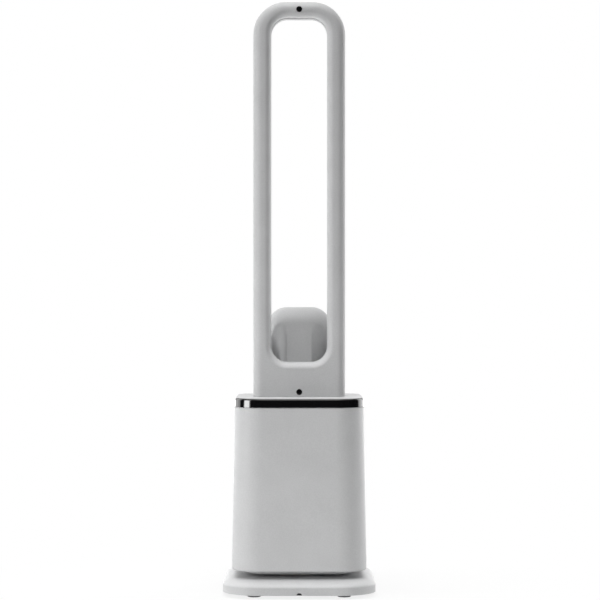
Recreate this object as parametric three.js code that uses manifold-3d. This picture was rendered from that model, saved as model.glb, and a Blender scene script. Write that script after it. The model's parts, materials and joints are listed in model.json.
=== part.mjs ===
// Tall bladeless fan: a hollow loop with an air slot, on a body that swings on its stand.
// Millimetres, +Z up, the front faces -Y, the origin is on the ground under the middle of the stand.
// An impeller in the body draws air through the rear cover and its filter and drives it up into the
// loop, which blows it forwards out of a slot that runs along the inside of both limbs.
import * as THREE from 'three';
import { mergeVertices } from 'three/addons/utils/BufferGeometryUtils.js';
import Module from 'manifold-3d';

const wasm = await Module();
wasm.setup();

// ---------------------------------------------------------------- driving sizes
const FIT_GAP = 0.3; // between pieces that touch
const SHAFT_FIT = 0.05; // round the motor's shaft
const RIGHT_ANGLE = 90; // degrees
const PAST = 1; // how far a cutter runs past the face it opens
const CORNER_STEPS = 5; // facets in a quarter turn of a housing corner
const LOOP_STEPS = 6; // facets in a quarter turn of the loop's corners
const ROUND_SIDES = 20; // facets of a large turned piece
const SMALL_SIDES = 10; // facets of a post, foot or boss
const SCREW_SIDES = 6;
const EDGE_STEPS = 4; // facets across a rounded edge that shows
const HIDDEN_STEPS = 2; // facets across a rounded edge inside a housing
const DOME_STEPS = 3;

// Stand
const FOOT_HEIGHT = 6;
const FOOT_DIAMETER = 22;
const FOOT_PLUG_SETBACK = 3; // the plug's edge inside the foot's edge
const FOOT_CHAMFER = 1.5;
const STAND_WIDTH = 256;
const FOOT_SETBACK_X = 53; // from the stand's side to the foot's middle
const FOOT_SETBACK_Y = 36;
const STAND_CORNER = 62;
const STAND_RIM_HEIGHT = 13.5;
const STAND_CROWN_HEIGHT = 10.5;
const STAND_EDGE_ROUND = 3.5;
const STAND_WALL = 3;
const CROWN_SHARES = [0.33, 0.67, 1]; // places of the crown's facets, rim to neck
const CROWN_POWER = 1.2; // above 1 the crown lifts off the rim more gently
const BASE_PLATE_THICKNESS = 2.5;
const BALLAST_SETBACK = 30; // from the stand's edge
const BALLAST_CORNER = 49;
const BALLAST_THICKNESS = 5;
const BALLAST_CLEARANCE = 1;
const NOTCH_RADIUS = 4.6;
const INLET_WIDTH = 10;
const INLET_DEPTH = 14;
const INLET_BORE = 6.4;
const INLET_PIN = 2;
const INLET_FLOOR = 3; // closed end of the socket's bore

// Swing drive
const HUB_RADIUS = 25;
const HUB_CABLE_BORE = 28;
const HUB_FLANGE_RADIUS = 40;
const HUB_FLANGE_THICKNESS = 3;
const HUB_SCREWS = 3;
const HUB_CLEARANCE = 2; // round the hub where it passes through the stand's cover
const CLIP_GROOVE = 1.5;
const CLIP_REACH = 4;
const GEAR_MODULE = 1.5;
const GEAR_THICKNESS = 6;
const SUN_TEETH = 36;
const PINION_TEETH = 12;
const PRESSURE_ANGLE = 25;
const GEAR_BACKLASH = 0.4;
const SUN_BORE_RADIUS = 20;
const WASHER_THICKNESS = 1.5;
const RUNNING_GAP = 6.5; // between the stand and the neck that turns over it
const BEARING_RING_RADIUS = 66;
const BEARING_RING_WIDTH = 8;
const SWING_MOTOR_DIAMETER = 50;
const SWING_MOTOR_HEIGHT = 17;
const PINION_SHAFT_RADIUS = 3;
const PINION_SHAFT_RUN = 8; // how far the shaft goes up into the motor
const MOTOR_LIFT = 2; // motor above the hub's clip
const MOTOR_EAR_THICKNESS = 2;
const TERMINAL_REACH = 5;
const MOTOR_POST_RADIUS = 4;

// Chassis and body
const NECK_WIDTH = 172;
const NECK_CORNER = 30;
const NECK_HEIGHT = 6.5;
const NECK_FLOOR = 3;
const CHASSIS_PLATE = 3;
const BODY_BOTTOM_WIDTH = 226;
const BODY_TOP_WIDTH = 216;
const BODY_CORNER = 48;
const BODY_HEIGHT = 274;
const BODY_WALL = 3;
const BODY_EDGE_ROUND = 4;
const BODY_EDGE_DROP = 2;
const CAP_HEIGHT = 13;
const CAP_WALL = 4;
const CAP_EDGE_ROUND = 1.2;
const CAP_SPIGOT = 5;
const SPIGOT_WALL = 3;
const BAND_THICKNESS = 2;
const BAND_MARGIN = 0.6;
const GLASS_CHAMFER = 0.6;
const BAND_REACH = 60; // from the body's front back to the band's two ends
const FINE_GAP = 0.15; // round the glossy band

// Rear cover and filter
const COVER_WIDTH = 156;
const COVER_HEADROOM = 21; // from the top of the cover to the top of the body's shell
const COVER_CORNER = 14;
const COVER_STEPS = 3; // facets in a quarter turn of its corners
const COVER_LIFT = 18; // from the bottom of the body to the bottom of the cover
const COVER_CLEARANCE = 0.4;
const COVER_RAIL = 14; // plain edge round the slots
const SLOT_ROWS = 16;
const SLOT_COLUMNS = 2;
const SLOT_HEIGHT = 5;
const SLOT_RIB = 8;
const FILTER_DEPTH = 16;
const FILTER_FRAME_WALL = 4;
const FILTER_MARGIN = 3;
const PLEATS = 16;
const PLEAT_THICKNESS = 1.4;
const PLEAT_SETBACK = 1; // folds inside the frame's front and back

// Fan module
const PILLAR_SPACING = 102;
const PILLAR_RADIUS = 5;
const PILLAR_HEIGHT = 40;
const ISOLATOR_HEIGHT = 7;
const INLET_LIP_RADIUS = 58;
const INLET_THROAT_RADIUS = 46;
const SHROUD_EXIT_RADIUS = 66;
const SHROUD_HEIGHT = 70;
const DUCT_WALL = 2.5;
const FLANGE_THICKNESS = 3;
const FLANGE_REACH = 5;
const BLADE_COUNT = 7;
const BLADE_THICKNESS = 2;
const BLADE_SWEEP = 62; // degrees
const BLADE_CLEARANCE = 1.2;
const HUB_CONE_RADIUS = 43.5;
const IMPELLER_LIFT = 18; // impeller's foot above the inlet lip
const IMPELLER_TOP_GAP = 3;
const IMPELLER_WALL = 3;
const IMPELLER_SHARES = [0, 0.2, 0.45, 0.7, 1]; // places of the hub cone's facets
const BLADE_EMBED = 1; // how deep a blade's root sits in the hub's wall
const BLADE_STEPS = 5;
const BLADE_START_SHARE = 0.06; // the blades span this part of the impeller's height
const BLADE_END_SHARE = 0.96;
const VANE_COUNT = 9;
const VANE_THICKNESS = 2;
const VANE_SWEEP = 34; // degrees
const VANE_STEPS = 3;
const VANE_SETBACK = 5; // above the diffuser's foot and below its top
const DIFFUSER_HEIGHT = 54;
const BUCKET_FLOOR = 3;
const BUCKET_BORE_CLEARANCE = 2; // round the shaft where it leaves the bucket
const SHAFT_RADIUS = 4;
const BEARING_RADIUS = 9;
const BEARING_WIDTH = 6;
const STATOR_RADIUS = 27;
const STATOR_HEIGHT = 18;
const STATOR_LIFT = 8; // above the bearing
const STATOR_TEETH = 9;
const ROTOR_RADIUS = 32;
const ROTOR_WALL = 3;
const ROTOR_HEADROOM = 11; // from the stator's top to the bell's top
const ROTOR_CHAMFER = 1.5;
const ROTOR_HUB_REACH = 4;
const SHAFT_PROUD = 1;
const MOTOR_CAP_HEIGHT = 26;
const MOTOR_CAP_WALL = 2;
const MOTOR_CAP_LIP = 4;
const DUCT_SHARES = [0.33, 0.67]; // places of the duct's facets between round and long
const DUCT_TOP_HEIGHT = 10; // straight collar that stands up into the loop's foot
const GASKET_WIDTH = 4;
const GASKET_HEIGHT = 5;

// Loop
const LOOP_WIDTH = 156.2;
const LOOP_HEIGHT = 669.4;
const LOOP_DEPTH = 60;
const LOOP_FRONT = 38; // front of the loop, ahead of the swing axis
const LOOP_CORNER = 56;
const LIMB_WIDTH = 30.4;
const LOOP_TOP_THICKNESS = 26.3;
const LOOP_FOOT_HEIGHT = 57.5;
const OPENING_CORNER = 27.5;
const LOOP_WALL = 2.4;
const OUTER_ROUND = 12;
const REAR_ROUND = 11;
const FLARE_WIDTH = 11;
const FLARE_DEPTH = 16;
const SEAM_SETBACK = 32; // from the loop's front to the seam of its two shells
const AIR_SLOT = 1.8;
const SLOT_OVERLAP = 9; // how far the front wall runs on inside the rear lip
const COANDA_RUN = 10; // length over which the inner wall steps back to the slot
const STEP_SHARES = [0, 0.33, 0.67, 1]; // places of that step's facets
const SLOT_STOP = 3; // the slot's blanks end this far inside the front wall's edge
const SLOT_END_MARGIN = 34; // closed part of the slot above the floor and below the top
const LUG_THICKNESS = 4;
const LUG_WIDTH = 36; // a tab behind the loop's foot, hidden under the hump
const LUG_SPACING = 22;
const LUG_RIM = 1; // round the screw heads

// Rear hump
const HUMP_STANDOFF = 4; // behind the loop
const HUMP_WIDTH = 109.5;
const HUMP_HEIGHT = 151;
const HUMP_DEPTH = 68;
const HUMP_CORNER = 33;
const HUMP_ROUND = 27;
const HUMP_REAR_ROUND = 30;
const HUMP_WALL = 2.5;
const HUMP_STRIP_WIDTH = 43;
const SCOOP_HEIGHT = 106;
const SCOOP_INNER_DEPTH = 5;
const SCOOP_OUTER_DEPTH = 26;
const SCOOP_SHARES = [0, 0.25, 0.5, 0.75, 1];
const SCOOP_BEND = 0.4; // share of the fall at the scoop's middle line
const HUMP_BOSS_WIDTH = 8;
const HUMP_BOSS_HEIGHT = 18;
const HUMP_BOSS_SPACING = 50;

// Windows, boards and fasteners
const WINDOW_RADIUS = 5;
const WINDOW_DEPTH = 2.2;
const TOP_WINDOW_DROP = 13.8; // from the top of the loop
const FOOT_WINDOW_RISE = 7.6; // from the bottom of the loop
const BOARD_THICKNESS = 1.6;
const BOARD_POST_RADIUS = 3;
const POWER_BOARD_WIDTH = 84;
const POWER_BOARD_LENGTH = 40;
const TRANSFORMER_HEIGHT = 18;
const CONNECTOR_HEIGHT = 10;
const CAPACITOR_RADIUS = 5;
const CAPACITOR_HEIGHT = 16;
const DISPLAY_BOARD_WIDTH = 90;
const DISPLAY_BOARD_HEIGHT = 14;
const SCREW_RADIUS = 1.8;
const SCREW_HEAD_RADIUS = 3.6;
const SCREW_HEAD_HEIGHT = 2.4;
const SCREW_LENGTH = 10;

// ---------------------------------------------------------------- sizes that follow from them
const FOOT_SPACING_X = STAND_WIDTH - 2 * FOOT_SETBACK_X;
const FOOT_SPACING_Y = STAND_WIDTH - 2 * FOOT_SETBACK_Y;
const BALLAST_WIDTH = STAND_WIDTH - 2 * BALLAST_SETBACK;
const COVER_HEIGHT = BODY_HEIGHT - COVER_LIFT - COVER_HEADROOM;
const RIM_TOP = FOOT_HEIGHT + STAND_RIM_HEIGHT;
const STAND_TOP = RIM_TOP + STAND_CROWN_HEIGHT;
const NECK_BOTTOM = STAND_TOP + RUNNING_GAP;
const WELL_FLOOR = NECK_BOTTOM + NECK_FLOOR;
const BODY_BOTTOM = NECK_BOTTOM + NECK_HEIGHT;
const PLATE_TOP = BODY_BOTTOM + FIT_GAP + CHASSIS_PLATE;
const SHELL_TOP = BODY_BOTTOM + BODY_HEIGHT;
const CAP_BOTTOM = SHELL_TOP + FIT_GAP;
const CAP_TOP = CAP_BOTTOM + CAP_HEIGHT;
const LOOP_BOTTOM = CAP_TOP + FIT_GAP;
const LOOP_TOP = LOOP_BOTTOM + LOOP_HEIGHT;
const OPENING_FLOOR = LOOP_BOTTOM + LOOP_FOOT_HEIGHT;
const OPENING_TOP = LOOP_TOP - LOOP_TOP_THICKNESS;
const FRONT_Y = -LOOP_FRONT;
const REAR_Y = FRONT_Y + LOOP_DEPTH;
const LOOP_Y = (FRONT_Y + REAR_Y) / 2;
const SEAM_Y = FRONT_Y + SEAM_SETBACK;
const HUMP_FRONT = REAR_Y + HUMP_STANDOFF;
const HUMP_BOTTOM = CAP_TOP + FIT_GAP;

// ---------------------------------------------------------------- shape helpers
const radians = THREE.MathUtils.degToRad;

// A manifold solid from a geometry, with shared corners merged and faces pointing out.
function solid(geometry) {
  const bare = new THREE.BufferGeometry();
  bare.setAttribute('position', geometry.getAttribute('position').clone());
  if (geometry.index) bare.setIndex(geometry.index.clone());
  const merged = mergeVertices(bare, 1e-4);
  const points = merged.getAttribute('position').array;
  const index = merged.index.array;
  const faces = [];
  let volume = 0;
  for (let i = 0; i < index.length; i += 3) {
    const [a, b, c] = [index[i], index[i + 1], index[i + 2]];
    if (a === b || b === c || c === a) continue;
    faces.push([a, b, c]);
    const [pa, pb, pc] = [a, b, c].map((n) => new THREE.Vector3().fromArray(points, 3 * n));
    volume += pa.dot(pb.cross(pc));
  }
  const outward = volume < 0 ? faces.map(([a, b, c]) => [a, c, b]) : faces;
  return new wasm.Manifold(new wasm.Mesh({
    numProp: 3,
    vertProperties: new Float32Array(points),
    triVerts: new Uint32Array(outward.flat()),
  }));
}

// A flat-shaded geometry from a manifold solid.
function geometryOf(body) {
  const mesh = body.getMesh();
  const geometry = new THREE.BufferGeometry();
  geometry.setAttribute('position', new THREE.BufferAttribute(new Float32Array(mesh.vertProperties), 3));
  geometry.setIndex(Array.from(mesh.triVerts));
  const flat = geometry.toNonIndexed();
  flat.computeVertexNormals();
  return flat;
}

function join(first, ...others) {
  return others.reduce((body, other) => body.add(other), first);
}

function cut(first, ...tools) {
  return tools.reduce((body, tool) => body.subtract(tool), first);
}

// Points of an arc between two angles in degrees.
function arc(centreX, centreY, radius, from, to, steps) {
  return Array.from({ length: steps + 1 }, (unused, i) => {
    const angle = radians(from + ((to - from) * i) / steps);
    return new THREE.Vector2(centreX + radius * Math.cos(angle), centreY + radius * Math.sin(angle));
  });
}

// A closed outline with round corners, anticlockwise from its lower right corner.
function cornerRing(left, right, bottom, top, lowerRadius, upperRadius, steps = CORNER_STEPS) {
  const corners = [[right, bottom, 1, -1], [right, top, 1, 1], [left, top, -1, 1], [left, bottom, -1, -1]];
  return corners.flatMap(([x, y, sideX, sideY], turn) => {
    const radius = sideY < 0 ? lowerRadius : upperRadius;
    if (radius <= 0) return [new THREE.Vector2(x, y)];
    const start = (turn - 1) * RIGHT_ANGLE;
    return arc(x - sideX * radius, y - sideY * radius, radius, start, start + RIGHT_ANGLE, steps);
  });
}

function squareRing(width, radius, steps = CORNER_STEPS) {
  return cornerRing(-width / 2, width / 2, -width / 2, width / 2, radius, radius, steps);
}

// A closed solid through outlines of equal point count, each at its own height.
function loft(stations) {
  const count = stations[0].ring.length;
  const points = stations.flatMap(({ ring, at }) => ring.flatMap((point) => [point.x, point.y, at]));
  const faces = [];
  for (let s = 0; s + 1 < stations.length; s += 1) {
    for (let i = 0; i < count; i += 1) {
      const low = s * count + i;
      const lowNext = s * count + ((i + 1) % count);
      faces.push(low, lowNext, lowNext + count, low, lowNext + count, low + count);
    }
  }
  const last = (stations.length - 1) * count;
  THREE.ShapeUtils.triangulateShape(stations[0].ring, [])
    .forEach(([a, b, c]) => faces.push(c, b, a));
  THREE.ShapeUtils.triangulateShape(stations.at(-1).ring, [])
    .forEach(([a, b, c]) => faces.push(last + a, last + b, last + c));
  const geometry = new THREE.BufferGeometry();
  geometry.setAttribute('position', new THREE.Float32BufferAttribute(points, 3));
  geometry.setIndex(faces);
  return geometry;
}

// The same with outlines in the XZ plane, each at its own y.
function loftAlongDepth(stations) {
  const flipped = stations.map(({ ring, at }) => ({ ring, at: -at })).sort((a, b) => a.at - b.at);
  return loft(flipped).rotateX(Math.PI / 2);
}

function prism(ring, from, to) {
  return loft([{ ring, at: from }, { ring, at: to }]);
}

function prismAlongDepth(ring, from, to) {
  return loftAlongDepth([{ ring, at: from }, { ring, at: to }]);
}

function box(left, right, front, back, bottom, top) {
  return new THREE.BoxGeometry(right - left, back - front, top - bottom)
    .translate((left + right) / 2, (front + back) / 2, (bottom + top) / 2);
}

// The radius of a faceted bore whose facets' middles still clear a round piece of this radius.
function boreRadius(radius, sides = ROUND_SIDES) {
  return radius / Math.cos(Math.PI / sides);
}

// An upright cylinder.
function post(radius, bottom, top, x = 0, y = 0, sides = SMALL_SIDES) {
  return new THREE.CylinderGeometry(radius, radius, top - bottom, sides)
    .rotateX(Math.PI / 2)
    .translate(x, y, (bottom + top) / 2);
}

// A solid of revolution about the Z axis from [radius, z] corners; the profile closes on itself.
function turned(profile, sides = ROUND_SIDES) {
  const closed = [...profile, profile[0]].map(([radius, z]) => new THREE.Vector2(radius, z));
  return new THREE.LatheGeometry(closed, sides).rotateX(Math.PI / 2);
}

function tube(inner, outer, bottom, top, sides = ROUND_SIDES) {
  return turned([[inner, bottom], [outer, bottom], [outer, top], [inner, top]], sides);
}

// A quarter ellipse as [run, drop] pairs: drop falls from `width` to zero while run grows to `depth`.
function quarterRound(width, depth, steps) {
  return Array.from({ length: steps + 1 }, (unused, i) => {
    const angle = (Math.PI / 2) * (i / steps);
    return [depth * (1 - Math.cos(angle)), width * (1 - Math.sin(angle))];
  });
}

// ---------------------------------------------------------------- scene graph
const group = new THREE.Group();
const tower = new THREE.Group();
const rearDoor = new THREE.Group();
const fanModule = new THREE.Group();
group.add(tower);
tower.add(rearDoor, fanModule);

const FINISHES = {
  shell: { color: 0xc9cacb, roughness: 0.55, metalness: 0 },
  inner: { color: 0x8f9295, roughness: 0.6, metalness: 0 },
  dark: { color: 0x1c1d20, roughness: 0.5, metalness: 0 },
  gloss: { color: 0x08080a, roughness: 0.08, metalness: 0 },
  rubber: { color: 0xb2b3b4, roughness: 0.85, metalness: 0 },
  steel: { color: 0x9a9c9f, roughness: 0.35, metalness: 1 },
  acetal: { color: 0xe8e6df, roughness: 0.4, metalness: 0 },
  board: { color: 0x1f5a3a, roughness: 0.5, metalness: 0 },
  paper: { color: 0xf1f0ea, roughness: 0.95, metalness: 0 },
  copper: { color: 0x9c5a34, roughness: 0.45, metalness: 0.8 },
};

function addPiece(parent, name, form, finish) {
  const geometry = form instanceof wasm.Manifold ? geometryOf(form) : form;
  const mesh = new THREE.Mesh(geometry, new THREE.MeshStandardMaterial(FINISHES[finish]));
  mesh.name = name;
  parent.add(mesh);
  return mesh;
}

// A pan-head screw, head down, its shank rising from z = 0.
function screwGeometry(length = SCREW_LENGTH) {
  const profile = [
    [0, -SCREW_HEAD_HEIGHT], [SCREW_HEAD_RADIUS * 0.7, -SCREW_HEAD_HEIGHT],
    [SCREW_HEAD_RADIUS, -SCREW_HEAD_HEIGHT / 2], [SCREW_HEAD_RADIUS, 0], [SCREW_RADIUS, 0], [0, length],
  ];
  return new THREE.LatheGeometry(profile.map(([r, z]) => new THREE.Vector2(r, z)), SCREW_SIDES)
    .rotateX(Math.PI / 2);
}

// ---------------------------------------------------------------- stand
// The stand's outline drawn in by `inset`.
function standRing(inset) {
  return squareRing(STAND_WIDTH - 2 * inset, STAND_CORNER - inset);
}

// Stations of the domed stand: skirt, rounded rim and a crown that rises gently to the neck.
function standStations(wall, bottom) {
  const crownInset = (STAND_WIDTH - NECK_WIDTH) / 2;
  const edge = STAND_EDGE_ROUND;
  const rim = quarterRound(edge, edge, HIDDEN_STEPS).reverse()
    .map(([run, drop]) => ({ inset: drop, at: RIM_TOP - run }));
  const crown = CROWN_SHARES.map((t) => ({
    inset: edge + (crownInset - edge) * t,
    at: RIM_TOP + STAND_CROWN_HEIGHT * Math.sin((Math.PI / 2) * t) ** CROWN_POWER,
  }));
  const profile = [{ inset: 0, at: bottom }, ...rim, ...crown];
  return profile.map(({ inset, at }) => ({
    ring: standRing(inset + wall),
    at: at === bottom ? bottom : at - wall,
  }));
}

const STAND_HOLE_RADIUS = HUB_RADIUS + HUB_CLEARANCE;
const BASE_TOP = FOOT_HEIGHT + BASE_PLATE_THICKNESS;
const INLET_BOTTOM = BASE_TOP + FIT_GAP;
const INLET_HEIGHT = RIM_TOP - STAND_EDGE_ROUND - INLET_BOTTOM;
const BOSS_OFFSET_X = FOOT_SPACING_X / 2 - FOOT_DIAMETER;
const BOSS_OFFSET_Y = FOOT_SPACING_Y / 2;
const SIGNS = [[-1, -1], [1, -1], [-1, 1], [1, 1]];
const BOSS_PLACES = SIGNS.map(([sideX, sideY]) => [sideX * BOSS_OFFSET_X, sideY * BOSS_OFFSET_Y]);
const FOOT_PLACES = SIGNS.map(([sideX, sideY]) => [
  (sideX * FOOT_SPACING_X) / 2, (sideY * FOOT_SPACING_Y) / 2,
]);
const CORNER_NAMES = ['front_left', 'front_right', 'rear_left', 'rear_right'];

const HUB_SCREW_PLACES = Array.from({ length: HUB_SCREWS }, (unused, i) => {
  const circle = HUB_FLANGE_RADIUS - 1.4 * SCREW_HEAD_RADIUS;
  const angle = (2 * Math.PI * i) / HUB_SCREWS;
  return [circle * Math.cos(angle), circle * Math.sin(angle)];
});

// Clearance holes for screws at the given places in plan.
function screwHolesAt(places, bottom, top) {
  return places.map(([x, y]) => solid(post(SCREW_RADIUS + FIT_GAP, bottom, top, x, y, SCREW_SIDES)));
}

// The half-round notch in the middle of the stand's front edge.
function frontNotch() {
  return solid(new THREE.CylinderGeometry(NOTCH_RADIUS, NOTCH_RADIUS, STAND_WALL * 3, SMALL_SIDES)
    .translate(0, -STAND_WIDTH / 2, FOOT_HEIGHT));
}

function standCover() {
  const outer = solid(loft(standStations(0, FOOT_HEIGHT)));
  const inner = solid(loft(standStations(STAND_WALL, FOOT_HEIGHT - PAST)));
  const hole = solid(post(STAND_HOLE_RADIUS, FOOT_HEIGHT, STAND_TOP + PAST, 0, 0, ROUND_SIDES));
  const inletHole = solid(box(
    -INLET_WIDTH / 2 - FIT_GAP, INLET_WIDTH / 2 + FIT_GAP,
    STAND_WIDTH / 2 - 2 * STAND_WALL, STAND_WIDTH / 2 + PAST,
    INLET_BOTTOM - FIT_GAP, INLET_BOTTOM + INLET_HEIGHT + FIT_GAP,
  ));
  const bossTop = STAND_TOP - STAND_WALL / 2;
  const bosses = BOSS_PLACES.map((place) => (
    solid(post(SCREW_HEAD_RADIUS, BASE_TOP + FIT_GAP, bossTop, ...place, SCREW_SIDES))
  ));
  const screwHoles = screwHolesAt(BOSS_PLACES, 0, BASE_TOP + SCREW_LENGTH);
  return cut(join(cut(outer, inner), ...bosses), ...screwHoles, hole, frontNotch(), inletHole);
}

function standBase() {
  const plate = solid(prism(standRing(STAND_WALL + FIT_GAP), FOOT_HEIGHT, BASE_TOP));
  const bore = solid(post(HUB_CABLE_BORE / 2, 0, STAND_TOP, 0, 0, ROUND_SIDES));
  const pocketRadius = FOOT_DIAMETER / 2 - FOOT_PLUG_SETBACK;
  const pockets = FOOT_PLACES.map((place) => solid(post(pocketRadius, 0, STAND_TOP, ...place)));
  const screwHoles = screwHolesAt([...BOSS_PLACES, ...HUB_SCREW_PLACES], 0, STAND_TOP);
  return cut(plate, bore, ...pockets, ...screwHoles, frontNotch());
}

// A rubber foot with a plug that fills the pocket of the base plate.
function footGeometry() {
  const outer = FOOT_DIAMETER / 2;
  const plug = outer - FOOT_PLUG_SETBACK - FIT_GAP;
  return turned([
    [0, 0], [outer - FOOT_CHAMFER, 0], [outer, FOOT_CHAMFER], [outer, FOOT_HEIGHT - FIT_GAP],
    [plug, FOOT_HEIGHT - FIT_GAP], [plug, BASE_TOP], [0, BASE_TOP],
  ], SMALL_SIDES);
}

function ballastPlate() {
  const bottom = BASE_TOP + FIT_GAP;
  const outline = squareRing(BALLAST_WIDTH, BALLAST_CORNER, EDGE_STEPS);
  const plate = solid(prism(outline, bottom, bottom + BALLAST_THICKNESS));
  const clearances = BOSS_PLACES.map((place) => (
    solid(post(SCREW_HEAD_RADIUS + BALLAST_CLEARANCE, 0, STAND_TOP, ...place, SCREW_SIDES))
  ));
  const bore = solid(post(HUB_FLANGE_RADIUS + BALLAST_CLEARANCE, 0, STAND_TOP, 0, 0, ROUND_SIDES));
  return cut(plate, bore, ...clearances);
}

// ---------------------------------------------------------------- swing drive
const HUB_BOTTOM = BASE_TOP + FIT_GAP;
const WASHER_BOTTOM = WELL_FLOOR + FIT_GAP;
const SUN_BOTTOM = WASHER_BOTTOM + WASHER_THICKNESS + FIT_GAP;
const SUN_TOP = SUN_BOTTOM + GEAR_THICKNESS;
const CLIP_BOTTOM = SUN_TOP + FIT_GAP;
const CLIP_THICKNESS = WASHER_THICKNESS;
const SUN_PITCH = (GEAR_MODULE * SUN_TEETH) / 2;
const PINION_PITCH = (GEAR_MODULE * PINION_TEETH) / 2;
const GEAR_CENTRES = SUN_PITCH + PINION_PITCH;
const SWING_MOTOR_BOTTOM = CLIP_BOTTOM + CLIP_THICKNESS + MOTOR_LIFT;

function pivotHub() {
  const bore = HUB_CABLE_BORE / 2;
  const groove = SUN_BORE_RADIUS - CLIP_GROOVE;
  const clipTop = CLIP_BOTTOM + CLIP_THICKNESS;
  const neckTop = clipTop + MOTOR_LIFT / 2;
  const body = solid(turned([
    [bore, HUB_BOTTOM], [HUB_FLANGE_RADIUS, HUB_BOTTOM],
    [HUB_FLANGE_RADIUS, HUB_BOTTOM + HUB_FLANGE_THICKNESS], [HUB_RADIUS, HUB_BOTTOM + HUB_FLANGE_THICKNESS],
    [HUB_RADIUS, SUN_BOTTOM - FIT_GAP], [SUN_BORE_RADIUS, SUN_BOTTOM - FIT_GAP],
    [SUN_BORE_RADIUS, CLIP_BOTTOM], [groove, CLIP_BOTTOM],
    [groove, clipTop], [SUN_BORE_RADIUS, clipTop],
    [SUN_BORE_RADIUS, neckTop], [bore, neckTop],
  ]));
  return cut(body, ...screwHolesAt(HUB_SCREW_PLACES, 0, SUN_BOTTOM));
}

// A spur gear's outline with involute flanks, a tooth centred on angle zero.
function gearShape(teeth, holeRadius) {
  const pitch = (GEAR_MODULE * teeth) / 2;
  const base = pitch * Math.cos(radians(PRESSURE_ANGLE));
  const tip = pitch + GEAR_MODULE;
  const root = pitch - 1.25 * GEAR_MODULE;
  const involute = (radius) => {
    const angle = Math.acos(Math.min(1, base / radius));
    return Math.tan(angle) - angle;
  };
  const halfAtPitch = Math.PI / (2 * teeth) - GEAR_BACKLASH / (4 * pitch);
  const halfAt = (radius) => halfAtPitch + involute(pitch) - involute(Math.max(radius, base));
  const flank = base > root ? [root, base, (base + tip) / 2, tip] : [root, pitch, tip];
  const outline = [];
  for (let tooth = 0; tooth < teeth; tooth += 1) {
    const centre = (2 * Math.PI * tooth) / teeth;
    const rising = flank.map((radius) => [radius, centre - halfAt(radius)]);
    const falling = [...flank].reverse().map((radius) => [radius, centre + halfAt(radius)]);
    [...rising, ...falling].forEach(([radius, angle]) => {
      outline.push(new THREE.Vector2(radius * Math.cos(angle), radius * Math.sin(angle)));
    });
  }
  const shape = new THREE.Shape(outline);
  if (holeRadius > 0) {
    const hole = new THREE.Path();
    hole.absarc(0, 0, holeRadius, 0, 2 * Math.PI, true);
    shape.holes.push(hole);
  }
  return shape;
}

function gearGeometry(teeth, holeRadius) {
  return new THREE.ExtrudeGeometry(gearShape(teeth, holeRadius), {
    depth: GEAR_THICKNESS, bevelEnabled: false, curveSegments: ROUND_SIDES / 2,
  });
}

// The pinion sits ahead of the hub, with a tooth gap turned towards it, on a stub of its motor's shaft.
function swingPinion() {
  const gear = solid(gearGeometry(PINION_TEETH, 0).rotateZ(Math.PI / PINION_TEETH));
  const shaftTop = SWING_MOTOR_BOTTOM - SUN_BOTTOM + PINION_SHAFT_RUN;
  const shaft = solid(post(PINION_SHAFT_RADIUS, GEAR_THICKNESS - PAST, shaftTop));
  return join(gear, shaft);
}

function swingMotor() {
  const canRadius = SWING_MOTOR_DIAMETER / 2;
  const ears = [-1, 1].map((side) => solid(post(
    PILLAR_RADIUS, 0, MOTOR_EAR_THICKNESS, side * (canRadius + PILLAR_RADIUS - PAST), 0,
  )));
  const screwHoles = [-1, 1].map((side) => solid(post(
    SCREW_RADIUS, -PAST, MOTOR_EAR_THICKNESS + PAST, side * (canRadius + PILLAR_RADIUS), 0, SCREW_SIDES,
  )));
  const can = solid(post(canRadius, 0, SWING_MOTOR_HEIGHT, 0, 0, ROUND_SIDES));
  const shaftBoreRadius = boreRadius(PINION_SHAFT_RADIUS + FIT_GAP, SMALL_SIDES);
  const shaftBore = solid(post(shaftBoreRadius, -PAST, PINION_SHAFT_RUN + PAST));
  const terminalHalf = SWING_MOTOR_DIAMETER / 6;
  const terminal = solid(box(
    -terminalHalf, terminalHalf, -canRadius - TERMINAL_REACH, -canRadius * 0.9,
    MOTOR_EAR_THICKNESS, SWING_MOTOR_HEIGHT * 0.7,
  ));
  return cut(join(can, ...ears, terminal), shaftBore, ...screwHoles);
}

// ---------------------------------------------------------------- chassis and body
// The body's width at height z: it narrows evenly from its foot to the top of the cap.
function bodyWidthAt(z) {
  const share = (z - BODY_BOTTOM) / (CAP_TOP - BODY_BOTTOM);
  return BODY_BOTTOM_WIDTH + (BODY_TOP_WIDTH - BODY_BOTTOM_WIDTH) * share;
}

function bodyStation(inset, z) {
  return { ring: squareRing(bodyWidthAt(z) - 2 * inset, BODY_CORNER - inset), at: z };
}

const PILLAR_PLACES = SIGNS.map(([sideX, sideY]) => [
  (sideX * PILLAR_SPACING) / 2, (sideY * PILLAR_SPACING) / 2,
]);
const BOARD_Y = PILLAR_SPACING / 2;
const BOARD_Z = WELL_FLOOR + PILLAR_HEIGHT / 3;
const MOTOR_EAR_OFFSET = SWING_MOTOR_DIAMETER / 2 + PILLAR_RADIUS;

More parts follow.
